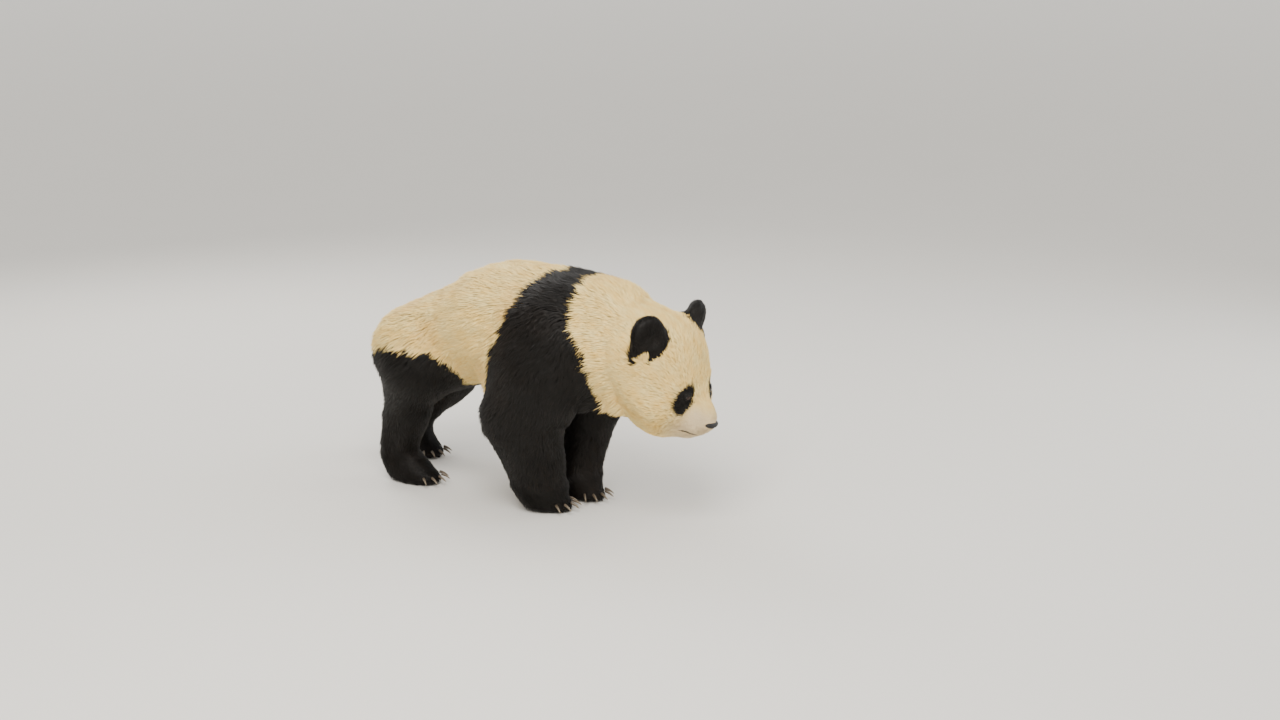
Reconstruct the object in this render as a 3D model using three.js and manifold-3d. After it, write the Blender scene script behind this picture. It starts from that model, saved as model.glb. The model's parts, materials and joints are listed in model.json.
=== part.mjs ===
// A life-size giant panda, standing still with its head lowered, in millimetres.
// +X is the animal's left, -Y is the way it faces and +Z is up; it stands on the plane z = 0.
//
// The animal is modelled whole, as one smooth field: ellipsoids and tapering limbs that melt into
// each other. Each stretch of it is then meshed on a grid as fine as that stretch needs, and
// parted from its neighbours by thin cuts, so that every part a person would name is a solid.

import * as THREE from 'three';
import { mergeVertices } from 'three/addons/utils/BufferGeometryUtils.js';
import Module from 'manifold-3d';

const wasm = await Module();
wasm.setup();

// ---------------------------------------------------------------------------------------------
// Driving dimensions
// ---------------------------------------------------------------------------------------------

const GAP = 0.3; // left between two parts by a cut
const WELD = 0.05; // points closer than this become one
const RIGHT = -1;
const LEFT = 1;

// the size of a grid cell for each stretch of the body, and how widely its forms melt together
const GRID = { torso: 78, leg: 57, head: 35, ear: 20, paw: 30, tail: 36 };
const MELT = { torso: 60, leg: 48, paw: 22, toe: 13, head: 34, face: 20, socket: 12, ear: 16, cup: 8 };

const WRIST_HEIGHT = 86; // where a paw ends and a leg begins
const ELBOW_HEIGHT = 262;
const HOCK_HEIGHT = 90;
const KNEE_HEIGHT = 240;

const HEAD_CENTRE = [-4, -296, 444];
const HEAD_TURN = { pitch: 37.5, yaw: 3, roll: 1.5 }; // degrees: nose down, nose left, left side up

// where each leg stands: the middle of the paw, and the joints above it
const LEGS = {
  foreleg_right: { paw: [-105, 66, 0], turn: 12, wrist: [-113, 76, 95], elbow: [-153, 110, 294], girth: 90 },
  foreleg_left: { paw: [47, 48, 0], turn: -8, wrist: [52, 56, 95], elbow: [138, 96, 303], girth: 76 },
  hindleg_right: { paw: [-138, 560, 0], turn: 8, hock: [-140, 630, 96], knee: [-164, 506, 392] },
  hindleg_left: { paw: [92, 756, 0], turn: -6, hock: [98, 818, 100], knee: [150, 676, 302] },
};

const EYE = { radius: 12, out: 57, forward: 114, up: 36 };
const EAR = {
  out: 121, forward: -56, up: 117,
  halfWidth: 58, halfHeight: 66, halfThick: 30,
  pitch: -28, splay: 26, turn: 28, // degrees: leaning forward, outward, and open to the side
};

const CLAW = { length: 34, radius: 5.2, bend: 0.55, sides: 5, steps: 2, drop: 12 };
const CLAW_ROOT = { beyondToe: 10, height: 27 }; // where a claw leaves its toe

// ---------------------------------------------------------------------------------------------
// The field: negative inside the animal, positive outside
// ---------------------------------------------------------------------------------------------

const ellipsoid = ([cx, cy, cz], [rx, ry, rz]) => ([x, y, z]) => {
  const u = [(x - cx) / rx, (y - cy) / ry, (z - cz) / rz];
  const reach = Math.hypot(...u);
  const slope = Math.hypot(u[0] / rx, u[1] / ry, u[2] / rz);
  return slope === 0 ? -Math.min(rx, ry, rz) : (reach * (reach - 1)) / slope;
};

// a limb: a ball of radius ra at a, tapering to a ball of radius rb at b
const limb = (a, ra, b, rb) => {
  const axis = b.map((v, i) => v - a[i]);
  const length2 = axis.reduce((sum, v) => sum + v * v, 0);
  return (p) => {
    const along = p.reduce((sum, v, i) => sum + (v - a[i]) * axis[i], 0) / length2;
    const t = Math.min(1, Math.max(0, along));
    const away = Math.hypot(...p.map((v, i) => v - a[i] - t * axis[i]));
    return away - (ra + (rb - ra) * t);
  };
};

const smoothMin = (a, b, k) => {
  const h = Math.max(k - Math.abs(a - b), 0) / k;
  return Math.min(a, b) - (h * h * k) / 4;
};

const melt = (k, ...fields) => (p) => fields.reduce((d, field) => smoothMin(d, field(p), k), 1e4);

const dent = (k, field, hollow) => (p) => -smoothMin(-field(p), hollow(p), k);

// a field written in a frame of its own, such as the head's, seen from outside that frame
const placed = (matrix, field) => {
  const inverse = matrix.clone().invert();
  const v = new THREE.Vector3();
  return (p) => field(v.set(...p).applyMatrix4(inverse).toArray());
};

const bothSides = (make) => [make(RIGHT), make(LEFT)];

// ---------------------------------------------------------------------------------------------
// The animal's form
// ---------------------------------------------------------------------------------------------

const torso = melt(
  MELT.torso,
  ellipsoid([0, 165, 521], [212, 248, 197]), // chest
  ellipsoid([0, 282, 530], [226, 184, 181]), // belly
  ellipsoid([0, 424, 503], [192, 165, 130]), // loin
  ellipsoid([0, 538, 430], [219, 216, 146]), // rump
  ellipsoid([0, 5, 554], [158, 175, 142]), // withers
  limb([0, 10, 520], 182, [-2, -226, 480], 157), // neck
  ellipsoid([0, -97, 583], [118, 136, 100]), // crest of the neck
);

const foreleg = (side, { elbow, wrist, girth }) => melt(
  MELT.leg,
  ellipsoid([side * 142, 25, 446], [104, 165, 200]), // shoulder
  limb([side * 156, 42, 430], 116, elbow, 113), // upper arm
  limb(elbow, 113, wrist, girth), // forearm
);

const hindleg = (side, { knee, hock }) => melt(
  MELT.leg,
  limb([side * 122, 556, 418], 138, knee, 104), // thigh
  limb(knee, 100, hock, 64), // shank
);

// paws are written in frames of their own: -Y points along the toes
const toeAngles = [-0.62, -0.31, 0, 0.31, 0.62];
const toeReach = [62, 72, 76, 72, 62];

const toePoint = (i, reach, z) => [
  Math.sin(toeAngles[i]) * reach,
  -Math.cos(toeAngles[i]) * reach,
  z,
];

const toes = toeAngles.map((_, i) => (
  limb(toePoint(i, 30, 34), 24, toePoint(i, toeReach[i], 22), 20)
));

const forepaw = melt(MELT.toe, ellipsoid([0, 6, 40], [66, 64, 52]), ...toes);
const hindpaw = melt(MELT.toe, limb([0, 68, 42], 46, [0, 4, 38], 58), ...toes);

// the head is written in its own frame too: -Y points along the snout
const cranium = melt(
  MELT.head,
  ellipsoid([0, 22, 8], [126, 120, 142]), // skull
  ...bothSides((side) => ellipsoid([side * 70, 26, 48], [76, 92, 78])), // temples
  ...bothSides((side) => ellipsoid([side * 76, -50, -52], [80, 100, 90])), // cheeks
  ellipsoid([0, -50, -74], [96, 100, 62]), // jaws
);

const snout = melt(
  MELT.face,
  limb([0, -90, -14], 62, [0, -160, -24], 47),
  limb([0, -92, 20], 46, [0, -180, 6], 30), // bridge
  limb([0, -90, -66], 46, [0, -156, -68], 27), // chin
  ...bothSides((side) => ellipsoid([side * 24, -172, -32], [27, 28, 25])), // lips
);

const brows = bothSides((side) => ellipsoid([side * 44, -78, 50], [44, 36, 34]));
const socket = (side) => ellipsoid([side * 66, -127, 37], [20, 19, 18]);
const face = melt(MELT.face, melt(MELT.head, cranium, snout), ...brows);
const head = dent(MELT.socket, dent(MELT.socket, face, socket(RIGHT)), socket(LEFT));

// ---------------------------------------------------------------------------------------------
// Frames
// ---------------------------------------------------------------------------------------------

function frameAt(position, { pitch = 0, roll = 0, yaw = 0 }) {
  const frame = new THREE.Group();
  frame.position.set(...position);
  frame.rotation.set(
    THREE.MathUtils.degToRad(pitch),
    THREE.MathUtils.degToRad(-roll),
    THREE.MathUtils.degToRad(yaw),
    'ZXY',
  );
  frame.updateMatrix();
  return frame;
}

const headFrame = frameAt(HEAD_CENTRE, HEAD_TURN);

const pawFrames = Object.fromEntries(
  Object.entries(LEGS).map(([name, { paw, turn }]) => [name, frameAt(paw, { yaw: turn })]),
);

const TAIL = limb([0, 738, 452], 48, [0, 800, 356], 42);
const trunk = melt(MELT.leg, torso, placed(headFrame.matrix, head), TAIL);

// a leg with its paw, running up into the trunk
const legField = (name, leg, paw) => melt(MELT.paw, leg, placed(pawFrames[name].matrix, paw));
const legFields = {
  foreleg_right: legField('foreleg_right', foreleg(RIGHT, LEGS.foreleg_right), forepaw),
  foreleg_left: legField('foreleg_left', foreleg(LEFT, LEGS.foreleg_left), forepaw),
  hindleg_right: legField('hindleg_right', hindleg(RIGHT, LEGS.hindleg_right), hindpaw),
  hindleg_left: legField('hindleg_left', hindleg(LEFT, LEGS.hindleg_left), hindpaw),
};
const withLeg = (name) => melt(MELT.leg, trunk, legFields[name]);
const PANDA = (p) => Math.min(...Object.keys(LEGS).map((name) => withLeg(name)(p)));

// ---------------------------------------------------------------------------------------------
// From the field to meshes and solids
// ---------------------------------------------------------------------------------------------

function slopeAt(field, p) {
  const h = 0.5;
  return [0, 1, 2].map((i) => {
    const ahead = [...p];
    const behind = [...p];
    ahead[i] += h;
    behind[i] -= h;
    return (field(ahead) - field(behind)) / (2 * h);
  });
}

// moves a point along the field's slope until it lies on the surface
function ontoSurface(field, start, cell) {
  let p = start;
  for (let step = 0; step < 4; step += 1) {
    const slope = slopeAt(field, p);
    const size2 = slope.reduce((sum, v) => sum + v * v, 1e-9);
    const move = THREE.MathUtils.clamp(field(p) / size2, -cell / 2, cell / 2);
    p = p.map((v, i) => v - move * slope[i]);
  }
  return p;
}

const CELL_EDGES = [];
for (let a = 0; a < 8; a += 1) {
  for (const bit of [1, 2, 4]) if (!(a & bit)) CELL_EDGES.push([a, a | bit]);
}

// the field's values at the corners of a grid that covers a box and two cells round it
function sampledGrid(field, low, high, cell, nudge) {
  const counts = low.map((v, i) => Math.ceil((high[i] - v) / cell) + 4);
  const corner = (...at) => at.map((n, i) => low[i] + (n - 1.5 + nudge) * cell);
  const index = (i, j, k) => (k * (counts[1] + 1) + j) * (counts[0] + 1) + i;
  const wall = (p) => Math.max(...p.map((v, i) => Math.max(low[i] - v, v - high[i])));
  const values = new Float64Array((counts[0] + 1) * (counts[1] + 1) * (counts[2] + 1));
  for (let k = 0; k <= counts[2]; k += 1) {
    for (let j = 0; j <= counts[1]; j += 1) {
      for (let i = 0; i <= counts[0]; i += 1) {
        const p = corner(i, j, k);
        values[index(i, j, k)] = Math.max(field(p), wall(p));
      }
    }
  }
  return { counts, corner, index, wall, values };
}

// where the surface crosses one grid cell, as the mean of its crossings with the cell's edges
function crossingOf({ corner, index, values }, i, j, k) {
  const at = (a) => [i + (a & 1), j + ((a >> 1) & 1), k + ((a >> 2) & 1)];
  const crossings = [];
  for (const [a, b] of CELL_EDGES) {
    const va = values[index(...at(a))];
    const vb = values[index(...at(b))];
    if (va < 0 === vb < 0) continue;
    const pb = corner(...at(b));
    crossings.push(corner(...at(a)).map((v, n) => v + ((pb[n] - v) * va) / (va - vb)));
  }
  if (crossings.length === 0) return null;
  return [0, 1, 2].map((n) => crossings.reduce((sum, p) => sum + p[n], 0) / crossings.length);
}

function surfacePoints(field, grid, cell) {
  const { counts, index, wall } = grid;
  const points = [];
  const pointOfCell = new Map();
  for (let k = 0; k < counts[2]; k += 1) {
    for (let j = 0; j < counts[1]; j += 1) {
      for (let i = 0; i < counts[0]; i += 1) {
        const p = crossingOf(grid, i, j, k);
        if (!p) continue;
        pointOfCell.set(index(i, j, k), points.length);
        points.push(wall(p) < -cell ? ontoSurface(field, p, cell) : p);
      }
    }
  }
  return { points, pointOfCell };
}

// one four-sided face, as two triangles, round each grid edge that the surface crosses
function surfaceTriangles({ counts, index, values }, points, pointOfCell) {
  const triangles = [];
  const length = (m, n) => Math.hypot(...points[m].map((v, i) => v - points[n][i]));
  const addQuad = (quad, flip) => {
    const [a, b, c, d] = flip ? quad.reverse() : quad;
    if (length(a, c) < length(b, d)) triangles.push(a, b, c, a, c, d);
    else triangles.push(b, c, d, b, d, a);
  };
  for (let k = 1; k < counts[2]; k += 1) {
    for (let j = 1; j < counts[1]; j += 1) {
      for (let i = 1; i < counts[0]; i += 1) {
        const here = values[index(i, j, k)] < 0;
        const cellAt = (di, dj, dk) => pointOfCell.get(index(i - di, j - dj, k - dk));
        if (here !== values[index(i + 1, j, k)] < 0) {
          addQuad([cellAt(0, 1, 1), cellAt(0, 0, 1), cellAt(0, 0, 0), cellAt(0, 1, 0)], !here);
        }
        if (here !== values[index(i, j + 1, k)] < 0) {
          addQuad([cellAt(1, 0, 1), cellAt(1, 0, 0), cellAt(0, 0, 0), cellAt(0, 0, 1)], !here);
        }
        if (here !== values[index(i, j, k + 1)] < 0) {
          addQuad([cellAt(1, 1, 0), cellAt(0, 1, 0), cellAt(0, 0, 0), cellAt(1, 0, 0)], !here);
        }
      }
    }
  }
  return triangles;
}

// true where an edge has more than two faces, as when two thin folds share a cell
function isPinched(triangles) {
  const uses = new Map();
  for (let i = 0; i < triangles.length; i += 1) {
    const next = i % 3 === 2 ? i - 2 : i + 1;
    const ends = [triangles[i], triangles[next]].sort((a, b) => a - b).join();
    uses.set(ends, (uses.get(ends) ?? 0) + 1);
  }
  return [...uses.values()].some((count) => count !== 2);
}

// a closed mesh of the field inside a box; a grid that pinches the surface is nudged along
function meshOf(field, low, high, cell) {
  let surface;
  for (let nudge = 0; nudge < 0.5; nudge += 0.07) {
    const grid = sampledGrid(field, low, high, cell, nudge);
    const { points, pointOfCell } = surfacePoints(field, grid, cell);
    surface = { points, triangles: surfaceTriangles(grid, points, pointOfCell) };
    if (!isPinched(surface.triangles)) break;
  }
  const geometry = new THREE.BufferGeometry();
  geometry.setAttribute('position', new THREE.Float32BufferAttribute(surface.points.flat(), 3));
  geometry.setIndex(surface.triangles);
  return geometry;
}

function solidOf(geometry) {
  const bare = geometry.clone();
  bare.deleteAttribute('normal');
  bare.deleteAttribute('uv');
  const merged = mergeVertices(bare, 1e-3);
  return new wasm.Manifold(new wasm.Mesh({
    numProp: 3,
    vertProperties: new Float32Array(merged.attributes.position.array),
    triVerts: new Uint32Array(merged.index.array),
  }));
}

// joins the points that a cut left closer than WELD, and drops the faces that this closes up
function geometryOf(solid) {
  const { vertProperties, triVerts } = solid.getMesh();
  const point = (i) => new THREE.Vector3(...vertProperties.subarray(3 * i, 3 * i + 3));
  const joined = Array.from({ length: vertProperties.length / 3 }, (_, i) => i);
  const rootOf = (i) => {
    let root = i;
    while (joined[root] !== root) root = joined[root];
    return root;
  };
  const faces = [];
  for (let i = 0; i < triVerts.length; i += 3) faces.push([...triVerts.subarray(i, i + 3)]);
  for (const face of faces) {
    face.forEach((a, n) => {
      const b = face[(n + 1) % 3];
      if (point(a).distanceTo(point(b)) < WELD) joined[rootOf(a)] = rootOf(b);
    });
  }
  const kept = faces.map((face) => face.map(rootOf)).filter((face) => new Set(face).size === 3);

  const geometry = new THREE.BufferGeometry();
  geometry.setAttribute('position', new THREE.Float32BufferAttribute(vertProperties, 3));
  geometry.setIndex(kept.flat());
  return geometry;
}

// ---------------------------------------------------------------------------------------------
// Cutters: each is a function of how much it is grown
// ---------------------------------------------------------------------------------------------

const FAR = 4000;
const SIDES = { egg: 12, ball: 10 }; // round the widest part of a large egg and of a small ball

// everything on the side of a plane that its normal points to
const beyond = (point, normal) => (grow) => {
  const box = new THREE.BoxGeometry(FAR, FAR, FAR);
  box.translate(0, 0, FAR / 2 - grow);
  const turn = new THREE.Quaternion().setFromUnitVectors(
    new THREE.Vector3(0, 0, 1),
    new THREE.Vector3(...normal).normalize(),
  );
  box.applyQuaternion(turn);
  box.translate(...point);
  return solidOf(box);
};

// tilt leans the egg's top to the animal's left, and lean brings it forward
const eggCutter = (centre, radii, { tilt = 0, lean = 0, sides = SIDES.egg } = {}) => (grow) => {
  const egg = new THREE.SphereGeometry(1, sides, Math.round(sides * 0.65));
  egg.rotateX(Math.PI / 2);
  egg.scale(...radii.map((r) => r + grow));
  egg.rotateY(THREE.MathUtils.degToRad(tilt));
  egg.rotateX(THREE.MathUtils.degToRad(lean));
  egg.translate(...centre);
  return solidOf(egg);
};

const bothOf = (cutterA, cutterB) => (grow) => cutterA(grow).intersect(cutterB(grow));

const moved = (matrix, cutter) => (grow) => {
  const geometry = geometryOf(cutter(grow));
  geometry.applyMatrix4(matrix);
  return solidOf(geometry);
};

const keep = (solid, ...cutters) => (
  cutters.reduce((left, cutter) => left.intersect(cutter(-GAP / 2)), solid)
);

const remove = (solid, ...cutters) => (
  cutters.reduce((left, cutter) => left.subtract(cutter(GAP / 2)), solid)
);

// ---------------------------------------------------------------------------------------------
// Materials
// ---------------------------------------------------------------------------------------------

const finish = (color, roughness) => (
  () => new THREE.MeshStandardMaterial({ color, roughness, metalness: 0 })
);

const whiteCoat = finish(0xe2cfa4, 0.9);
const blackCoat = finish(0x23201c, 0.88);
const noseLeather = finish(0x1d1a19, 0.45);
const eyeball = finish(0x140d08, 0.12);
const clawHorn = finish(0x3a332b, 0.4);

function partMesh(name, geometry, material) {
  const mesh = new THREE.Mesh(geometry, material());
  mesh.name = name;
  return mesh;
}

const addPart = (group, name, solid, material) => (
  group.add(partMesh(name, geometryOf(solid), material))
);

// ---------------------------------------------------------------------------------------------
// Torso
// ---------------------------------------------------------------------------------------------

const BACKWARD = [0, 1, 0];
const neckToHead = beyond([0, -222, 460], [0, -1, 0.06]);
const shouldersToNeck = beyond([0, -50, 700], [0, -0.93, 0.37]);
const barrelToShoulders = beyond([0, 92, 700], [0, 0.97, -0.24]);
const rumpToBarrel = beyond([0, 450, 450], BACKWARD);

const legEggs = {
  foreleg_right: eggCutter([-212, 37, 402], [172, 172, 300], { tilt: -12, lean: 15 }),
  foreleg_left: eggCutter([202, 36, 402], [178, 172, 300], { tilt: 10, lean: 16 }),
  hindleg_right: eggCutter([-206, 560, 372], [172, 232, 262], { tilt: -10 }),
  hindleg_left: eggCutter([194, 664, 372], [184, 240, 262], { tilt: 8 }),
};
const tailEgg = eggCutter([0, 820, 410], [84, 78, 130]);
const FLOOR = beyond([0, 0, GAP / 2], [0, 0, 1]);

function buildTorso(group) {
  const rough = meshOf(PANDA, [-300, -300, 150], [300, 940, 760], GRID.torso);
  const above = beyond([0, 0, ELBOW_HEIGHT], [0, 0, 1]);
  let rest = keep(solidOf(rough), above);
  rest = remove(rest, neckToHead, tailEgg, ...Object.values(legEggs));

  addPart(group, 'neck', keep(rest, shouldersToNeck), whiteCoat);
  rest = remove(rest, shouldersToNeck);
  addPart(group, 'shoulders', remove(rest, barrelToShoulders), blackCoat);
  rest = keep(rest, barrelToShoulders);
  addPart(group, 'barrel', remove(rest, rumpToBarrel), whiteCoat);
  addPart(group, 'rump', keep(rest, rumpToBarrel), whiteCoat);
}

function buildTail(group) {
  const rough = meshOf(PANDA, [-100, 730, 290], [100, 900, 590], GRID.tail);
  addPart(group, 'tail', keep(solidOf(rough), tailEgg), whiteCoat);
}

// ---------------------------------------------------------------------------------------------
// Legs
// ---------------------------------------------------------------------------------------------

function buildLeg(group, leg, parts, box, heights) {
  const rough = solidOf(meshOf(withLeg(leg), box.low, box.high, GRID.leg));
  const upper = beyond([0, 0, heights.upper], [0, 0, 1]);
  const lower = beyond([0, 0, heights.lower], [0, 0, 1]);
  addPart(group, parts.upper, remove(keep(rough, legEggs[leg], upper), tailEgg), blackCoat);
  addPart(group, parts.lower, keep(remove(rough, upper), lower), blackCoat);
}

const span = (side, near, far) => [side * near, side * far].sort((a, b) => a - b);

function buildForeleg(group, word, side) {
  const [x0, x1] = span(side, -40, 340);
  const parts = { upper: `upper_foreleg_${word}`, lower: `forearm_${word}` };
  const box = { low: [x0, -190, 40], high: [x1, 290, 720] };
  buildLeg(group, `foreleg_${word}`, parts, box, { upper: ELBOW_HEIGHT, lower: WRIST_HEIGHT });
}

function buildHindleg(group, word, side) {
  const [x0, x1] = span(side, 2, 340);
  const parts = { upper: `thigh_${word}`, lower: `shank_${word}` };
  const box = { low: [x0, 270, 40], high: [x1, 930, 660] };
  buildLeg(group, `hindleg_${word}`, parts, box, { upper: KNEE_HEIGHT, lower: HOCK_HEIGHT });
}

// ---------------------------------------------------------------------------------------------
// Paws and claws
// ---------------------------------------------------------------------------------------------

// a cone, bent down along its length
function clawGeometry(grow) {
  const cone = new THREE.ConeGeometry(CLAW.radius + grow, CLAW.length, CLAW.sides, CLAW.steps);
  cone.translate(0, CLAW.length / 2, 0);
  cone.scale(0.8, 1, 1);
  const position = cone.attributes.position;
  for (let i = 0; i < position.count; i += 1) {
    const along = position.getY(i) / CLAW.length;
    const angle = CLAW.bend * along;
    const z = position.getZ(i);
    const run = CLAW.length * (Math.sin(angle) / CLAW.bend);
    const drop = CLAW.length * ((1 - Math.cos(angle)) / CLAW.bend);
    position.setXYZ(i, -position.getX(i), -run - z * Math.sin(angle), z * Math.cos(angle) - drop);
  }
  return cone;
}

function clawFrame(i) {
  const root = toePoint(i, toeReach[i] + CLAW_ROOT.beyondToe, CLAW_ROOT.height);
  return frameAt(root, { yaw: THREE.MathUtils.radToDeg(toeAngles[i]), pitch: CLAW.drop });
}

function buildPaw(group, leg, name, height, rear) {
  const frame = pawFrames[leg];
  const field = withLeg(leg);
  const inPaw = (p) => field(new THREE.Vector3(...p).applyMatrix4(frame.matrix).toArray());
  const rough = solidOf(meshOf(inPaw, [-130, -130, -40], [130, rear, 130], GRID.paw));
  const top = beyond([0, 0, height], [0, 0, 1]);
  let paw = remove(keep(rough, FLOOR), top);
  toeAngles.forEach((_, i) => {
    const claw = clawFrame(i);
    paw = paw.subtract(solidOf(clawGeometry(GAP).applyMatrix4(claw.matrix)));
    const mesh = partMesh(`${name}_claw_${i + 1}`, clawGeometry(0), clawHorn);
    claw.add(mesh);
    frame.add(claw);
  });
  addPart(frame, name, paw, blackCoat);
  group.add(frame);
}

// ---------------------------------------------------------------------------------------------
// Head
// ---------------------------------------------------------------------------------------------

function earFrame(side) {
  const position = [side * EAR.out, -EAR.forward, EAR.up];
  return frameAt(position, { pitch: EAR.pitch, roll: -side * EAR.splay, yaw: side * EAR.turn });
}

// a round, cupped ear, open to the front
function earField(side) {
  const { halfWidth, halfHeight, halfThick } = EAR;
  const disc = ellipsoid([0, 0, 0], [halfWidth, halfThick, halfHeight]);
  const cup = ellipsoid(
    [0, -halfThick * 1.7, -4],
    [halfWidth * 0.7, halfThick * 1.3, halfHeight * 0.7],
  );
  return placed(earFrame(side).matrix, dent(MELT.cup, disc, cup));
}

const earEgg = (side) => moved(
  earFrame(side).matrix,
  eggCutter([0, 0, 4], [EAR.halfWidth + 14, EAR.halfThick + 20, EAR.halfHeight + 10]),
);

const earName = { [RIGHT]: 'ear_right', [LEFT]: 'ear_left' };
const eyeName = { [RIGHT]: 'eye_right', [LEFT]: 'eye_left' };

const eyeBall = (side) => eggCutter(
  [side * EYE.out, -EYE.forward, EYE.up],
  [EYE.radius, EYE.radius, EYE.radius],
  { sides: SIDES.ball },
);

const muzzleEgg = eggCutter([0, -186, -16], [78, 84, 70]);
const mouthPlane = beyond([0, -150, -62], [0, -0.3, -1]);
const jawEgg = eggCutter([0, -128, -104], [86, 118, 78]);
const jawCutter = bothOf(mouthPlane, jawEgg);
const noseBall = eggCutter([0, -205, -5], [22, 13, 12], { sides: SIDES.ball });

function buildHead(group) {
  const toHead = headFrame.matrix.clone().invert();
  const inHead = (p) => PANDA(new THREE.Vector3(...p).applyMatrix4(headFrame.matrix).toArray());
  const rough = solidOf(meshOf(inHead, [-200, -240, -190], [200, 190, 190], GRID.head));
  let rest = keep(rough, moved(toHead, neckToHead));

  for (const side of [RIGHT, LEFT]) {
    const field = melt(MELT.ear, inHead, earField(side));
    const [x0, x1] = span(side, 40, 210);
    const ear = solidOf(meshOf(field, [x0, -30, 40], [x1, 130, 210], GRID.ear));
    addPart(headFrame, earName[side], keep(ear, earEgg(side)), blackCoat);
    rest = remove(rest, earEgg(side), eyeBall(side));
    addPart(headFrame, eyeName[side], eyeBall(side)(-GAP / 2), eyeball);
  }

  addPart(headFrame, 'lower_jaw', keep(rest, jawCutter), whiteCoat);
  rest = remove(rest, jawCutter);
  addPart(headFrame, 'nose', noseBall(-GAP / 2), noseLeather);
  addPart(headFrame, 'muzzle', remove(keep(rest, muzzleEgg), noseBall), whiteCoat);
  addPart(headFrame, 'head', remove(rest, muzzleEgg), whiteCoat);
  group.add(headFrame);
}

// ---------------------------------------------------------------------------------------------
// The panda
// ---------------------------------------------------------------------------------------------

const panda = new THREE.Group();
buildHead(panda);
buildTorso(panda);
buildTail(panda);
buildForeleg(panda, 'right', RIGHT);
buildForeleg(panda, 'left', LEFT);
buildHindleg(panda, 'right', RIGHT);
buildHindleg(panda, 'left', LEFT);
for (const word of ['right', 'left']) {
  buildPaw(panda, `foreleg_${word}`, `forepaw_${word}`, WRIST_HEIGHT, 130);
  buildPaw(panda, `hindleg_${word}`, `hindpaw_${word}`, HOCK_HEIGHT, 170);
}

// the origin is the middle of the box that the animal fills, at floor level
const box = new THREE.Box3().setFromObject(panda, true);
const middle = box.getCenter(new THREE.Vector3());
panda.position.set(-middle.x, -middle.y, -box.min.z);

export default panda;
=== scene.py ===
# %% [markdown]
# # A giant panda in mid-step, life size
#
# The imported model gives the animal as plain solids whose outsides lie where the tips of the
# coat would be. This lesson puts one skin under those solids, gives it lids, lips and folds,
# and then grows a coat of solid tufts from it that reaches back out to them.

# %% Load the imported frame
import json
import math

import bpy
import numpy as np
from mathutils import Matrix, Vector
from mathutils.bvhtree import BVHTree
from mathutils.kdtree import KDTree

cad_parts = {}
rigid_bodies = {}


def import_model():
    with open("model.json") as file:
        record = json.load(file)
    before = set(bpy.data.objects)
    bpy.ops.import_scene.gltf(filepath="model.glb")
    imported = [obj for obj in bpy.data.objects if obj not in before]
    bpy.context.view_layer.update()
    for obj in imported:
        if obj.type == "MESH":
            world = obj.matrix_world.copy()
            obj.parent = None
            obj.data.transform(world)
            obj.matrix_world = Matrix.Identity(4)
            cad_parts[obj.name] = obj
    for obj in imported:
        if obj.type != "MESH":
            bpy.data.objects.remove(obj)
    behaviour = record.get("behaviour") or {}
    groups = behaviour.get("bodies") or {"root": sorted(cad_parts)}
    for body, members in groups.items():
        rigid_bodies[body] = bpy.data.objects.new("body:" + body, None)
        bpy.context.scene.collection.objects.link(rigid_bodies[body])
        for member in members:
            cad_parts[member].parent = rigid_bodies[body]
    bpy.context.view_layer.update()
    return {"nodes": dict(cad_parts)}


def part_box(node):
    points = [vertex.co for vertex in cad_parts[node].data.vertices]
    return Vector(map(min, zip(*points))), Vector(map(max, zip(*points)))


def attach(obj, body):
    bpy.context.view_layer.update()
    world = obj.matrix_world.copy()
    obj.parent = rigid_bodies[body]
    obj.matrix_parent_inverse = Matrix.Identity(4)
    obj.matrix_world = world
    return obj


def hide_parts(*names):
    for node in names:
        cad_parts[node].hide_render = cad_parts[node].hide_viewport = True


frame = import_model()
solids = frame["nodes"]
MM = 0.001

# %% [markdown]
# ## The camera
#
# It stands to the animal's right and in front of it, about as high as a person's shoulders,
# and looks down a little. Its place is measured from where the right forepaw stands, and its
# aim is two angles, so the animal comes out small and a little left of the middle.

# %% The camera
SENSOR_WIDTH = 36  # mm
LENS_IN_WIDTHS = 1500 / 1280  # focal length over the width of the frame
SIGHT = math.radians(36)  # round from the animal's right towards its front
TILT = math.radians(13)  # down from level
CAMERA_FROM_PAW = Vector((-3.2526, -2.7220, 1.4297))


def add_object(name, data):
    made = bpy.data.objects.new(name, data)
    bpy.context.scene.collection.objects.link(made)
    return made


def middle(node):
    low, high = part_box(node)
    return (low + high) / 2


camera = add_object("camera", bpy.data.cameras.new("camera"))
camera.data.sensor_width = SENSOR_WIDTH
camera.data.lens = SENSOR_WIDTH * LENS_IN_WIDTHS
camera.data.clip_start = 0.1
camera.data.clip_end = 60
to_camera = Vector((-math.cos(SIGHT) * math.cos(TILT), -math.sin(SIGHT) * math.cos(TILT), math.sin(TILT)))
paw = middle("forepaw_right")
camera.location = Vector((paw.x, paw.y, 0)) + CAMERA_FROM_PAW
camera.rotation_mode = "QUATERNION"
camera.rotation_quaternion = (-to_camera).to_track_quat("-Z", "Y")
bpy.context.scene.camera = camera
print("camera at", tuple(round(v, 3) for v in camera.location))

# %% [markdown]
# ## The head's own frame
#
# The head is lowered and turned a little, so its markings and folds are easier to place in a
# frame of its own: x to the animal's left, y back from the nose and z up through the crown.
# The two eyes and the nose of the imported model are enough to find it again.

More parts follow.
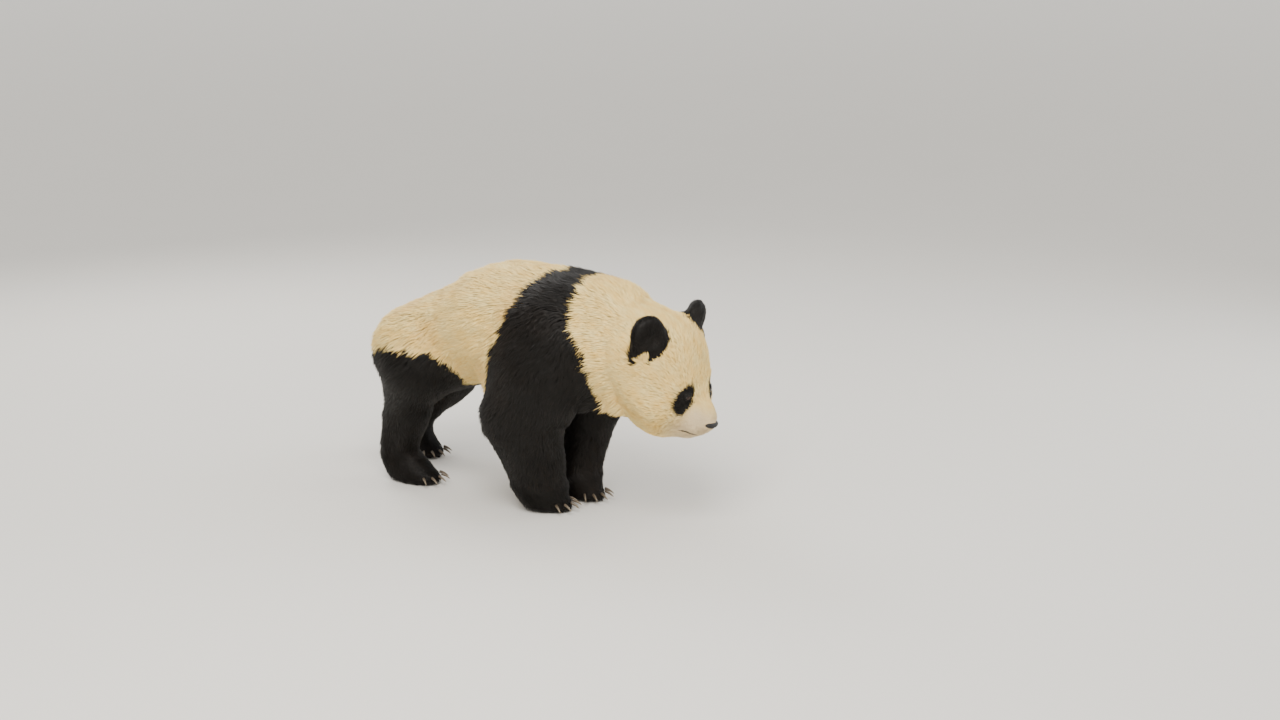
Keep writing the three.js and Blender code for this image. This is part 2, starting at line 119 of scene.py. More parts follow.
# %% Find the head's frame
NOSE_AHEAD, NOSE_BELOW = 91 / math.hypot(91, 41), 41 / math.hypot(91, 41)  # the way from the eyes to the nose
EYE_AHEAD, EYE_UP = 114 * MM, 36 * MM  # from the middle of the head to between the eyes
eye_places = {side: middle(f"eye_{side}") for side in ("right", "left")}
nose_place = middle("nose")
across = (eye_places["left"] - eye_places["right"]).normalized()
between_eyes = (eye_places["left"] + eye_places["right"]) / 2
down_nose = nose_place - between_eyes
down_nose = (down_nose - across * down_nose.dot(across)).normalized()
into_head = across.cross(down_nose)
back = -NOSE_AHEAD * down_nose + NOSE_BELOW * into_head
up = -NOSE_BELOW * down_nose - NOSE_AHEAD * into_head
HEAD_TURN = np.array([across, back, up])  # rows: the head's own axes
HEAD_CENTRE = np.array(between_eyes + back * EYE_AHEAD - up * EYE_UP)


def in_head(points):
    return (np.atleast_2d(points) - HEAD_CENTRE) @ HEAD_TURN.T


def from_head(points):
    return np.atleast_2d(points) @ HEAD_TURN + HEAD_CENTRE


eye_local = {side: in_head(place)[0] for side, place in eye_places.items()}


def eye_distance(points):
    local = in_head(points)
    return np.minimum(*[np.linalg.norm(local - eye, axis=1) for eye in eye_local.values()])


NOSE_PLACE = in_head(nose_place)[0] + np.array([0, 6, 0.5]) * MM  # set back a little into the snout
NOSE_HALF = np.array([27, 14, 10]) * MM  # half its width, depth and height


def in_nose(local):
    """Places as shares of the nose's half size, from its middle."""
    return (local - NOSE_PLACE) / NOSE_HALF


print("head centre", HEAD_CENTRE.round(3), "nose in head, mm", (in_head(nose_place) / MM).round(1))

# %% [markdown]
# ## The coat, part by part
#
# A panda's coat is longest on the trunk and shortest on the muzzle and feet. Each part of the
# animal has a row here: how deep the coat stands over the skin, how long and wide its tufts
# are, and how far apart they grow, all in millimetres. Further on these are blended over the
# skin, so that no part's edge shows.

# %% The coat's measures
COAT = {  # depth, length, width, spacing
    "barrel": (17, 44, 3.9, 3.85),
    "rump": (17, 44, 3.9, 3.85),
    "shoulders": (17, 42, 4.1, 4.3),
    "neck": (15, 36, 3.6, 3.7),
    "tail": (12, 34, 3.7, 3.8),
    "upper_foreleg": (14, 36, 4.1, 4.4),
    "forearm": (11, 28, 3.8, 4.2),
    "thigh": (15, 38, 4.1, 4.4),
    "shank": (11, 28, 3.8, 4.2),
    "forepaw": (6, 14, 2.6, 3.1),
    "hindpaw": (6, 14, 2.6, 3.1),
    "head": (8.5, 22, 2.7, 3.1),
    "muzzle": (2.8, 8, 1.6, 2.05),
    "lower_jaw": (4, 11, 2.0, 2.4),
    "ear": (4, 12, 2.4, 2.6),
    "nose": (3, 5, 1.6, 2.2),
    "eye": (4, 6, 1.6, 2.2),
}
PARTS = sorted(COAT)
HEAD_PARTS = ("head", "muzzle", "lower_jaw", "nose", "eye")
MEASURES = np.array([COAT[part] for part in PARTS])  # a row for each part, by its number


def part_of(node):
    return max((part for part in COAT if node.startswith(part)), key=len)


def is_part(numbers, *parts):
    return np.isin(numbers, [PARTS.index(part) for part in parts])


flesh = [name for name in sorted(solids) if "claw" not in name]
print("parts of the coat:", len(COAT), "solids of flesh:", len(flesh))

# %% [markdown]
# ## One skin from many solids
#
# The solids of flesh are copied, joined and remeshed in small cubes of 5 mm, which closes the
# thin cuts between them. A mesh operator acts on whatever is selected, so each step first
# selects just what it needs.

# %% Join the copies
FORM_CUBE = 5 * MM


def only(*pieces):
    """Leaves just these pieces selected, the first of them active."""
    for other in bpy.context.scene.objects:
        other.select_set(False)
    for piece in pieces:
        piece.select_set(True)
    bpy.context.view_layer.objects.active = pieces[0] if pieces else None


def edit_all(piece):
    only(piece)
    bpy.ops.object.mode_set(mode="EDIT")
    bpy.ops.mesh.select_all(action="SELECT")


def leave_edit():
    bpy.ops.object.mode_set(mode="OBJECT")


def apply_modifier(piece, kind, **settings):
    only(piece)
    modifier = piece.modifiers.new(kind.lower(), kind)
    for name, value in settings.items():
        setattr(modifier, name, value)
    bpy.ops.object.modifier_apply(modifier=modifier.name)


skin, *others = [add_object("flesh_" + name, solids[name].data.copy()) for name in flesh]
only(skin, *others)
bpy.ops.object.join()
skin.name = "skin"
skin.data.materials.clear()
edit_all(skin)
bpy.ops.mesh.remove_doubles(threshold=0.00001)
leave_edit()
apply_modifier(skin, "REMESH", mode="VOXEL", voxel_size=FORM_CUBE)
print("skin after joining:", len(skin.data.polygons), "faces")

# %% [markdown]
# ## Which part a point belongs to
#
# Joining loses the solids' names, and the coat needs them back. The facets of all the solids
# go into one search tree, which finds the nearest one to any point, and a list beside it says
# which part of the animal each facet came from. Arrays of places are read all at once, which
# keeps big meshes quick.

# %% A search tree of the solids


def read(collection, field, width=3, kind=np.float32):
    values = np.empty(len(collection) * width, kind)
    collection.foreach_get(field, values)
    return values.reshape(-1, width) if width > 1 else values


corners, faces, face_part = [], [], []
for name in flesh:
    mesh = solids[name].data
    mesh.calc_loop_triangles()
    start = sum(len(block) for block in corners)
    corners.append(read(mesh.vertices, "co").astype(float))
    faces.append(read(mesh.loop_triangles, "vertices", kind=np.int32) + start)
    face_part += [PARTS.index(part_of(name))] * len(mesh.loop_triangles)
face_part = np.array(face_part)
solid_tree = BVHTree.FromPolygons(np.vstack(corners).tolist(), np.vstack(faces).tolist())


def nearest_part(points):
    return face_part[[solid_tree.find_nearest(point)[2] for point in points.tolist()]]


print("facets in the tree:", len(face_part))

# %% [markdown]
# ## The neighbours of each point
#
# Smoothing moves every point some way to the middle of its neighbours, a round at a time. The
# same spreading of values later blends measures and directions over the skin, which no
# modifier does, so the neighbours are kept in a small class that spreads anything.

# %% A web of neighbours


class Web:
    """The neighbours of each vertex of a piece, for spreading values over its surface."""

    def __init__(self, piece):
        self.edges = read(piece.data.edges, "vertices", 2, np.int32)
        self.count = len(piece.data.vertices)
        self.neighbours = np.maximum(np.bincount(self.edges.ravel(), minlength=self.count), 1)

    def mean(self, values):
        flat = values.reshape(self.count, -1)
        a, b = self.edges.T
        total = np.empty_like(flat)
        for i, column in enumerate(flat.T):
            total[:, i] = np.bincount(a, column[b], self.count) + np.bincount(b, column[a], self.count)
        return (total / self.neighbours[:, None]).reshape(values.shape)

    def spread(self, values, rounds, share=0.5):
        values = values.astype(float)
        share = share[:, None] if np.ndim(share) and values.ndim > 1 else share
        for _ in range(rounds):
            values = values + share * (self.mean(values) - values)
        return values


web = Web(skin)
print("each point has", web.neighbours.mean().round(1), "neighbours")

# %% [markdown]
# ## Smooth the facets away
#
# The plain facets would show through the coat. They are smoothed away fully on the trunk and
# much less on the ears, the muzzle and the toes, which would shrink. The soles keep their
# height, so that they stay flat on the floor.

# %% Smooth the facets away
FIRM = {"ear": 0.2, "eye": 0.3, "nose": 0.05, "muzzle": 0.25, "lower_jaw": 0.3,
        "head": 0.6, "forepaw": 0.4, "hindpaw": 0.5, "tail": 0.8}  # the rest is smoothed fully


def places(piece):
    return read(piece.data.vertices, "co").astype(float)


def set_places(piece, points):
    piece.data.vertices.foreach_set("co", points.astype(np.float32).ravel())
    piece.data.update()


def ramp(value, low, high):
    """0 up to low, 1 from high, and a smooth rise between them."""
    t = np.clip((value - low) / (high - low), 0, 1)
    return t * t * (3 - 2 * t)


points = places(skin)
label = nearest_part(points)
share = web.spread(np.array([FIRM.get(part, 1.0) for part in PARTS])[label], 10) * 0.6
smooth = web.spread(points, 70, share)
off_floor = ramp(points[:, 2], 0.002, 0.012)[:, None]
points = points + (smooth - points) * np.hstack([np.ones_like(off_floor), np.ones_like(off_floor), off_floor])
set_places(skin, points)
print("solids smoothed into one form of", len(points), "points")

# %% [markdown]
# ## Sculpt the head
#
# The solids give the head plain cheeks and a plain cone of a muzzle. A panda's jaw narrows
# downwards, its cheeks bulge back over the neck, and its upper lip swells on each side under
# the nose, with a crease behind it. Each of these is a push with a soft edge, in the head's
# own frame, as a sculpting brush would give.

# %% Push the head into shape
EAR_MIDDLE, EAR_UPRIGHT = np.array([121, 56, 117]) * MM, np.array([0.47, 0.12, 0.87])


def outward(piece):
    return read(piece.data.vertex_normals, "vector").astype(float)


on_head = web.spread(is_part(label, *HEAD_PARTS).astype(float), 8)
on_ear = web.spread(is_part(label, "ear").astype(float), 3)
local = in_head(points)
normals = outward(skin) @ HEAD_TURN.T
out, below = np.abs(local[:, 0]), -local[:, 2]
local[:, 0] *= 1 - 0.20 * ramp(below, 0.02, 0.13) * ramp(out, 0.03, 0.11) * on_head  # a narrower jaw
local[:, 0] *= 1 - 0.08 * ramp(-below, 0.03, 0.12) * ramp(out, 0.03, 0.11) * on_head  # and crown
jowl = ramp(below, 0.04, 0.11) * ramp(local[:, 1], -0.09, -0.01) * on_head
local[:, 1] += 0.014 * jowl
local[:, 2] -= 0.005 * jowl
folded = np.stack([out, local[:, 1], local[:, 2]], 1)  # both sides of the head on its left


def brush(centre, size, push):
    """A soft push along the normals, on both sides of the head, all in millimetres."""
    gap = (folded - np.array(centre) * MM) / (np.array(size) * MM)
    return normals * (np.exp(-(gap ** 2).sum(1)) * push * MM * on_head)[:, None]


pushes = brush((27, -180, -32), (22, 24, 20), 6.0)  # the swollen upper lip
pushes += brush((0, -160, -84), (34, 36, 16), 6.0)  # the chin
pushes += brush((52, -146, -18), (12, 20, 34), -5.0)  # the crease behind the muzzle
pushes += brush((84, -88, -48), (44, 46, 40), 4.0)  # the round of the cheek
pushes += brush((0, -128, 34), (16, 26, 30), -3.0)  # the dip between the eyes
pushes += brush((64, -112, 50), (26, 30, 28), -4.5)  # a brow that falls away to the side
ear_height = (folded - EAR_MIDDLE) @ EAR_UPRIGHT
pushes += normals * (5.0 * MM * on_ear * ramp(ear_height, -0.01, 0.035))[:, None]  # a thick, round rim
points = from_head(local + pushes)
set_places(skin, points)
print("longest push of the head, mm:", (np.linalg.norm(pushes, axis=1).max() / MM).round(1))

# %% [markdown]
# ## Sink the skin under the coat
#
# The form is pushed in along its normals by the depth of the coat at each place, so that the
# tips of the tufts come back out to it, and remeshed once more at the size that the skin
# needs. The coat thins out towards the eyes, and the soles stay where they are.

# %% Sink the skin
SKIN_CUBE = 7.8 * MM
depth = web.spread(MEASURES[label, 0] * MM, 16)
depth *= 0.35 + 0.65 * ramp(eye_distance(points), 0.018, 0.060)
off_floor = ramp(points[:, 2], 0.001, 0.02) * ramp(-outward(skin)[:, 2], 1.01, 0.6)
set_places(skin, points - outward(skin) * (depth * off_floor)[:, None])
print("coat depth, mm:", (depth.min() / MM).round(1), "to", (depth.max() / MM).round(1))
apply_modifier(skin, "REMESH", mode="VOXEL", voxel_size=SKIN_CUBE)
apply_modifier(skin, "SMOOTH", factor=0.5, iterations=2)
print("skin under the coat:", len(skin.data.polygons), "faces")

# %% [markdown]
# ## Finer skin on the face
#
# Lids and lips are a few millimetres wide, so the face needs smaller faces than the trunk.
# Faces are chosen by their place in the head's own frame and subdivided: twice on the muzzle
# and round the eyes, and a third time close to the eyes.

# %% Subdivide the face
EYE_RADIUS = (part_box("eye_left")[1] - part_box("eye_left")[0]).z / 2


def select_faces(piece, chosen):
    """Edit mode on a piece with just these of its faces selected."""
    for group in (piece.data.vertices, piece.data.edges):
        group.foreach_set("select", np.zeros(len(group), bool))
    piece.data.polygons.foreach_set("select", chosen)
    only(piece)
    bpy.ops.object.mode_set(mode="EDIT")
    bpy.ops.mesh.select_mode(type="FACE")


for eye_reach, with_muzzle in ((0.045, True), (0.030, True), (0.022, False)):
    centres = read(skin.data.polygons, "center").astype(float)
    local = in_head(centres)
    on_muzzle = (-local[:, 1] > 0.128) & (np.abs(local[:, 0]) < 0.075) & (local[:, 2] < 0.03)
    select_faces(skin, (eye_distance(centres) < eye_reach) | (on_muzzle & with_muzzle))
    bpy.ops.mesh.subdivide(number_cuts=1, smoothness=0.0)
    leave_edit()
edit_all(skin)
bpy.ops.mesh.quads_convert_to_tris(quad_method="BEAUTY", ngon_method="BEAUTY")
leave_edit()
web = Web(skin)
points = places(skin)
local = in_head(points)
face_area = ((-local[:, 1] > 0.07) & (np.abs(local[:, 0]) < 0.12)).astype(float)
points = web.spread(points, 6, web.spread(face_area, 3) * 0.5)
set_places(skin, points)
print("skin with a finer face:", len(skin.data.polygons), "triangles")

# %% [markdown]
# ## The lids
#
# The eye is a ball that sits in the head. Skin near it is lifted just over the ball to make
# the lids, and inside an almond-shaped opening it is pushed in behind the ball instead. That
# is quicker than modelling two lids, and leaves no gap between lid and skin.

# %% Shape the lids
LID, EYE_SET_BACK = 1.3 * MM, 5.0 * MM  # how thick the lids are, and how deep the ball is set
LID_REACH = 2.2 * EYE_RADIUS
LOOK = (0.42, -0.88, 0.18)  # the way an eye looks: outward, back, up
ALMOND_WIDTH, ALMOND_HEIGHT = 0.86, 0.46  # half the opening, in radii of the ball
NO_OPENING = 9.0


def unit(vectors):
    return vectors / np.maximum(np.linalg.norm(vectors, axis=-1, keepdims=True), 1e-9)


points = places(skin)
local = in_head(points)
normals = outward(skin) @ HEAD_TURN.T
gaze = {}
almond = np.full(len(points), NO_OPENING)
for side, eye in eye_local.items():
    sign = math.copysign(1, eye[0])
    look = unit(np.array([sign * LOOK[0], LOOK[1], LOOK[2]]))
    eye = eye - look * EYE_SET_BACK
    away = local - eye
    far = np.linalg.norm(away, axis=1)
    outer = np.array([sign, 0.35, -0.45])  # from the inner corner of the lids to the outer one
    outer = unit(outer - look * (outer @ look))
    lift = np.cross(look, outer)
    lift *= math.copysign(1, lift[2])
    gaze[side] = np.array([outer, lift, look])
    aim = unit(away)
    x, y, z = aim @ outer, aim @ lift, aim @ look
    opening = np.abs(y + 0.04) / np.maximum(ALMOND_HEIGHT * (1 - (x / ALMOND_WIDTH) ** 2), 0.02)
    opening = np.where((z > 0.1) & (far < LID_REACH), opening, NO_OPENING)
    almond = np.minimum(almond, opening)
    lid = EYE_RADIUS + LID
    lifted = np.where(far < lid, lid, far)
    blend = lid * 0.35
    lifted = np.where(np.abs(far - lid) < blend, lid + (far - lid + blend) ** 2 / (4 * blend), lifted)
    lifted = np.where(z > -0.15, lifted, far)
    target = np.where(opening < 1.0, EYE_RADIUS * 0.72, lifted)
    local = np.where((far < LID_REACH)[:, None], eye + aim * target[:, None], local)
    print(side, "eye looks along", look.round(2), "in the head's frame")

# %% [markdown]
# ## The mouth and the cleft under the nose
#
# A closed mouth shows only its lip line: a shallow groove that follows a tilted plane round
# the muzzle. A second, shorter one runs from the nose down to it. Both are pressed into the
# skin with soft sides, as deep as the coat there would hide.

# %% Press in the mouth and the cleft
MOUTH_POINT = np.array([0, -150, -62]) * MM
MOUTH_NORMAL = unit(np.array([0, -0.3, -1.0]))


def past_lips(local):
    """How far places lie past the plane of the lips, downwards."""
    return (local - MOUTH_POINT) @ MOUTH_NORMAL


ahead = -local[:, 1]
groove = np.exp(-(past_lips(local) / (2.6 * MM)) ** 2) * ramp(ahead, 0.128, 0.150)
cleft = np.exp(-(local[:, 0] / (1.8 * MM)) ** 2) * ramp(ahead, 0.185, 0.20)
cleft = cleft * ramp(local[:, 2], -0.046, -0.040) * ramp(-local[:, 2], 0.008, 0.012)
press = groove * 4.5 * MM + cleft * 2.5 * MM
local = local - normals * press[:, None]
set_places(skin, from_head(local))
print("deepest fold, mm:", (press.max() / MM).round(1))

# %% [markdown]
# ## Where the body is black
#
# The black of a panda runs over the shoulders and down the forelegs, and over the hind legs.
# It is given as a small function of place, above 0 where the coat is black. The band over the
# shoulders has a front and a rear edge for each angle round the trunk, and the hind legs'
# black has a height for each place along it.

# %% The body's markings
TRUNK_AXIS_UP = 0.50  # the height that angles round the trunk are measured from
BAND_ANGLE = [0, 22, 41, 58, 73, 87, 103, 127, 180]  # degrees round the trunk, from the top
BAND_FRONT = [-0.245, -0.268, -0.275, -0.288, -0.310, -0.336, -0.348, -0.352, -0.360]
BAND_REAR = [-0.158, -0.125, -0.112, -0.093, -0.080, -0.058, -0.030, 0.012, 0.040]
FORELEG_TOP, FORELEG_REAR = 0.315, 0.083
HIND_FRONT = 0.125
HIND_PLACE = [0.10, 0.125, 0.155, 0.205, 0.30, 0.40, 0.50, 0.60]  # along the trunk, towards the tail
HIND_TOP = [0.32, 0.36, 0.394, 0.435, 0.455, 0.440, 0.410, 0.385]


def least(*values):
    return np.minimum.reduce(values)


def most(*values):
    return np.maximum.reduce(values)


def black_on_body(points):
    x, y, z = points.T
    angle = np.degrees(np.arctan2(np.abs(x), z - TRUNK_AXIS_UP))
    band = least(y - np.interp(angle, BAND_ANGLE, BAND_FRONT), np.interp(angle, BAND_ANGLE, BAND_REAR) - y)
    forelegs = least(FORELEG_TOP - z, FORELEG_REAR - y)
    hind_top = np.interp(y, HIND_PLACE, HIND_TOP) - 0.09 * (1 - ramp(np.abs(x), 0.06, 0.19))
    hindlegs = least(hind_top - z, y - HIND_FRONT)
    return most(band, forelegs, hindlegs)


print("the band is", round((BAND_REAR[0] - BAND_FRONT[0]) / MM), "mm wide on the ridge of the back")

# %% [markdown]
# ## Where the head is black
#
# On the head the black is a slanting patch round each eye, the lips, the rim of the nose and
# the ears, whose black runs a little way down behind them. A tuft of cream covers the foot of
# each ear. The patches are the same on both sides, so places are first folded onto the left.

# %% The head's markings
PATCH_MIDDLE = (68 * MM, 28.5 * MM)  # of an eye patch: out from the middle of the face, and up
PATCH_LENGTH, PATCH_WIDTH = 46 * MM, 22 * MM  # half of each
PATCH_SLANT = (0.58, -0.81)  # outward and down
EAR_EDGE = np.array([[150, 82, 72], [153, 46, 44]]) * MM  # where the ear's black runs down, from and to
EAR_EDGE_RADIUS = 11 * MM
EAR_NOTCH, EAR_NOTCH_HALF = np.array([147, 24, 66]) * MM, np.array([26, 14, 31]) * MM


def fold(local):
    return np.stack([np.abs(local[:, 0]), local[:, 1], local[:, 2]], 1)


def black_on_head(points):
    local = in_head(points)
    folded = fold(local)
    out, ahead, above = folded[:, 0], -local[:, 1], local[:, 2]
    along = (out - PATCH_MIDDLE[0]) * PATCH_SLANT[0] + (above - PATCH_MIDDLE[1]) * PATCH_SLANT[1]
    beside = (out - PATCH_MIDDLE[0]) * PATCH_SLANT[1] - (above - PATCH_MIDDLE[1]) * PATCH_SLANT[0]
    width = PATCH_WIDTH * (1 + 0.22 * along / PATCH_LENGTH)
    patch = (1 - np.hypot(along / PATCH_LENGTH, beside / width)) * PATCH_WIDTH
    patch = np.where(ahead > 0.05, patch, -1.0)
    lips = least(3.2 * MM - np.abs(past_lips(local)), (ahead - 0.152) * 0.4, 0.050 - out)
    foot, run = EAR_EDGE[0], EAR_EDGE[1] - EAR_EDGE[0]
    share = np.clip((folded - foot) @ run / (run @ run), 0, 1)
    ear_edge = EAR_EDGE_RADIUS - np.linalg.norm(folded - foot - share[:, None] * run, axis=1)
    nose_rim = 1.12 - np.linalg.norm(in_nose(local), axis=1)
    return most(patch, lips, ear_edge, nose_rim * 0.02)


def in_ear_notch(points):
    return np.linalg.norm((fold(in_head(points)) - EAR_NOTCH) / EAR_NOTCH_HALF, axis=1) < 1


print("an eye patch is", round(2 * PATCH_LENGTH / MM), "by", round(2 * PATCH_WIDTH / MM), "mm")

# %% [markdown]
# ## Ragged edges, and a grey muzzle
#
# Where black meets cream, locks of both run into each other, so the place that is asked about
# is first shaken a little. The tail is cream and the ears are black but for their notch. The
# muzzle is greyer than the face. The skin and every tuft ask these same functions, so that
# both carry the same markings.

# %% Put the markings together
WAVER, HEAD_WAVER = 4 * MM, 0.3  # how far an edge wavers, and the share of that on the head


def wander(points, size, seed):
    """Smooth chance values, mostly from -1 to 1, that change over about that size."""
    rng = np.random.default_rng(seed)
    total = np.zeros(len(points))
    for _ in range(6):
        way = rng.normal(size=3)
        way /= np.linalg.norm(way)
        pace = 2 * math.pi / size * rng.uniform(0.6, 1.5)
        total += np.sin(points @ way * pace + rng.uniform(0, 2 * math.pi))
    return total / 6 ** 0.5


def blackness(points, parts):
    """1 where the coat is black and 0 where it is cream, with a ragged edge."""
    shaken = points + WAVER * np.stack([wander(points, 0.035, seed) for seed in (3, 4, 5)], 1)
    on_head = black_on_head(points + (shaken - points) * HEAD_WAVER)
    value = np.where(is_part(parts, *HEAD_PARTS), on_head, black_on_body(shaken))
    value = np.where(is_part(parts, "tail"), -1.0, value)
    value = np.where(is_part(parts, "ear"), np.where(in_ear_notch(points), -1.0, 1.0), value)
    return ramp(value, -0.0025, 0.0025)


def greyness(points, parts):
    local = in_head(points)
    on_snout = ramp(-local[:, 1], 0.115, 0.160) * ramp(-local[:, 2], -0.045, -0.005)
    return np.where(is_part(parts, *HEAD_PARTS), on_snout, 0.0)


points = places(skin)
label = nearest_part(points)
shown_black = blackness(points + outward(skin) * 0.006, label)
print("share of the skin under black coat:", shown_black.mean().round(2))

# %% [markdown]
# ## Which way the coat lies
#
# Hair on a bear starts at the nose, sweeps back over the face and along the trunk, turns down
# on the legs and runs forward over the toes. Each part gets one simple direction. On the
# trunk it turns down with the flank, and on the face and the ears it runs out from a point.

# %% The lie of the coat on each part
TRUNK_DOWN = {"barrel": 0.5, "rump": 0.7, "shoulders": 0.6, "neck": 0.4}  # how far down it lies on the flank
LEG_LIE = {
    "upper_foreleg": (0, 0.45, -1),
    "forearm": (0, 0.2, -1),
    "forepaw": (0, -0.9, -0.55),
    "thigh": (0, 0.7, -1),
    "shank": (0, 0.1, -1),
    "hindpaw": (0, -0.9, -0.55),
    "tail": (0, 0.3, -1),
}
HAIR_STARTS = np.array([0, -215, -5]) * MM  # on the tip of the nose, in the head's frame
web = Web(skin)
normals = outward(skin)
local = in_head(points)
lie = np.zeros_like(points)
flank = np.abs(normals[:, 0])
for part, down in TRUNK_DOWN.items():
    chosen = is_part(label, part)
    lie[chosen] = np.stack([0 * flank, 1 + 0 * flank, -down * flank], 1)[chosen]
for part, direction in LEG_LIE.items():
    lie[is_part(label, part)] = direction
from_nose = local - HAIR_STARTS
from_nose[:, 2] -= 0.35 * ramp(np.abs(local[:, 0]), 0.05, 0.12) * np.abs(from_nose[:, 1])
chosen = is_part(label, *HEAD_PARTS)
lie[chosen] = (unit(from_nose) @ HEAD_TURN)[chosen]
ear_side = np.sign(local[:, 0])[:, None] * [1, 0, 0] + [0, 1, 1]
from_ear = (local - ear_side * EAR_MIDDLE) / 0.054 * 0.55 + ear_side * EAR_UPRIGHT
chosen = is_part(label, "ear")
lie[chosen] = (unit(from_ear) @ HEAD_TURN)[chosen]
print("points with a lie of their own:", int((np.abs(lie).sum(1) > 0).sum()), "of", len(points))

# %% [markdown]
# ## Blend the parts into each other
#
# Spreading the directions and the measures over the skin turns each part's smoothly into its
# neighbour's. Then a few places are set apart: hair turns away from the eyes all round, and
# it is short at the lids and the lips and close on the belly.

# %% Blend the lie and the measures


def along_surface(vectors, normals):
    """What is left of each vector without its part along the normal."""
    return vectors - normals * (vectors * normals).sum(1)[:, None]


long_coat = MEASURES[label, 3] > 3.5
lie = web.spread(unit(lie), 30, np.where(long_coat, 0.6, 0.06))
lie = web.spread(unit(along_surface(lie, normals)), 4)
near_eye = 1 - ramp(eye_distance(points), 0.013, 0.034)
for eye in eye_local.values():
    close = np.linalg.norm(local - eye, axis=1) < 0.05
    lie = lie + (unit(local - eye) @ HEAD_TURN) * (near_eye * close * 1.5)[:, None]
measures = web.spread(MEASURES[label, :3] * MM, 14, np.where(long_coat, 0.6, 0.3))  # depth, length, width
underside = ramp(-normals[:, 2], 0.1, 0.7) * ramp(points[:, 2], 0.2, 0.26) * (local[:, 1] > 0.1)
measures *= 1 - np.array([[0.45, 0.4, 0.1]]) * underside[:, None]
near_lips = 1 - ramp(np.abs(past_lips(local)), 0.003, 0.012)
near_lips *= ramp(-local[:, 1], 0.13, 0.16)
measures *= 1 - np.array([[0.45, 0.5, 0.25]]) * most(near_eye, near_lips)[:, None]
shortest, longest = (measures[:, 1].min() / MM).round(), (measures[:, 1].max() / MM).round()
print("tufts run from", shortest, "to", longest, "mm long")

# %% [markdown]
# ## Bare places
#
# No tufts grow on the soles, inside the lids, under the nose pad or in the lip line. The skin
# there is dark and shows by itself, so its material asks for the same mark.

# %% Mark the bare places
bare = (normals[:, 2] < -0.55) & (points[:, 2] < 0.02)
bare |= almond < 1.5
bare |= np.linalg.norm(in_nose(local), axis=1) < 1.0
bare |= (np.abs(past_lips(local)) < 2.2 * MM) & (-local[:, 1] > 0.148)
grows = web.spread((~bare).astype(float), 1)
print("bare share of the skin:", bare.mean().round(3))

# %% [markdown]
# ## One tuft
#
# A tuft is a thin lock with three sides that ends in a point. It has two rings of three
# corners and one corner at its tip, with a small face that closes its root. Its faces are
# listed once here, with the place of each of their corners on the tuft's own little UV patch.

# %% The faces of a tuft
RINGS = [(0.0, 0.8), (0.5, 0.85), (1.0, 0)]  # how far along a tuft, and how thick there
LEVELS = [t for t, _ in RINGS]
CORNERS = 3 * (len(RINGS) - 1) + 1
tuft_faces, tuft_uv = [], []
for ring in range(len(RINGS) - 2):
    for k in range(3):
        a, b = 3 * ring + k, 3 * ring + (k + 1) % 3
        tuft_faces.append([a, b, b + 3, a + 3])
        tuft_uv += [(k / 3, LEVELS[ring]), ((k + 1) / 3, LEVELS[ring]),
                    ((k + 1) / 3, LEVELS[ring + 1]), (k / 3, LEVELS[ring + 1])]
for k in range(3):
    tuft_faces.append([CORNERS - 4 + k, CORNERS - 4 + (k + 1) % 3, CORNERS - 1])
    tuft_uv += [(k / 3, LEVELS[-2]), ((k + 1) / 3, LEVELS[-2]), ((k + 0.5) / 3, 1.0)]
tuft_faces.append([0, 2, 1])
tuft_uv += [(0.0, 0.0), (0.3, 0.0), (0.15, 0.1)]
print("a tuft has", CORNERS, "corners and", len(tuft_faces), "faces")

# %% [markdown]
# ## Gather the tufts
#
# Real fur falls into small clumps whose tips lean together. One tuft in twelve is chosen by
# chance as a leader, and every tip moves part of the way to the tip of the nearest leader,
# but only sideways over the skin, and by no more than about a third of the tuft's length.

# %% Gather the tips
CLUMP = 0.22  # how far tips gather
TUFTS_PER_CLUMP = 12


def gather_tips(root, tip, normal, length, rng):
    """How far each tip moves towards the tip of its clump's leader."""
    count = max(len(root) // TUFTS_PER_CLUMP, 1)
    leaders = KDTree(count)
    chosen = rng.choice(len(root), count, replace=False)
    for i, place in enumerate(root[chosen].tolist()):
        leaders.insert(place, i)
    leaders.balance()
    leader = chosen[[leaders.find(place)[1] for place in root.tolist()]]
    gather = along_surface((tip[leader] - tip) * CLUMP, normal)
    stray = np.linalg.norm(gather, axis=1, keepdims=True)
    return gather * np.minimum(1, 0.35 * length[:, None] / np.maximum(stray, 1e-6))


# %% [markdown]
# ## Bend the tufts over
#
# All tufts of a piece are worked out at once as arrays: a row per tuft, then its corners. A
# tuft leaves the skin, bends over and runs along the lie of the coat. Its turn, length,
# height and width vary a little by chance, and more slowly from place to place.

# %% The corners of many tufts
FLOOR_GAP = 0.6 * MM  # no corner of a tuft lies lower


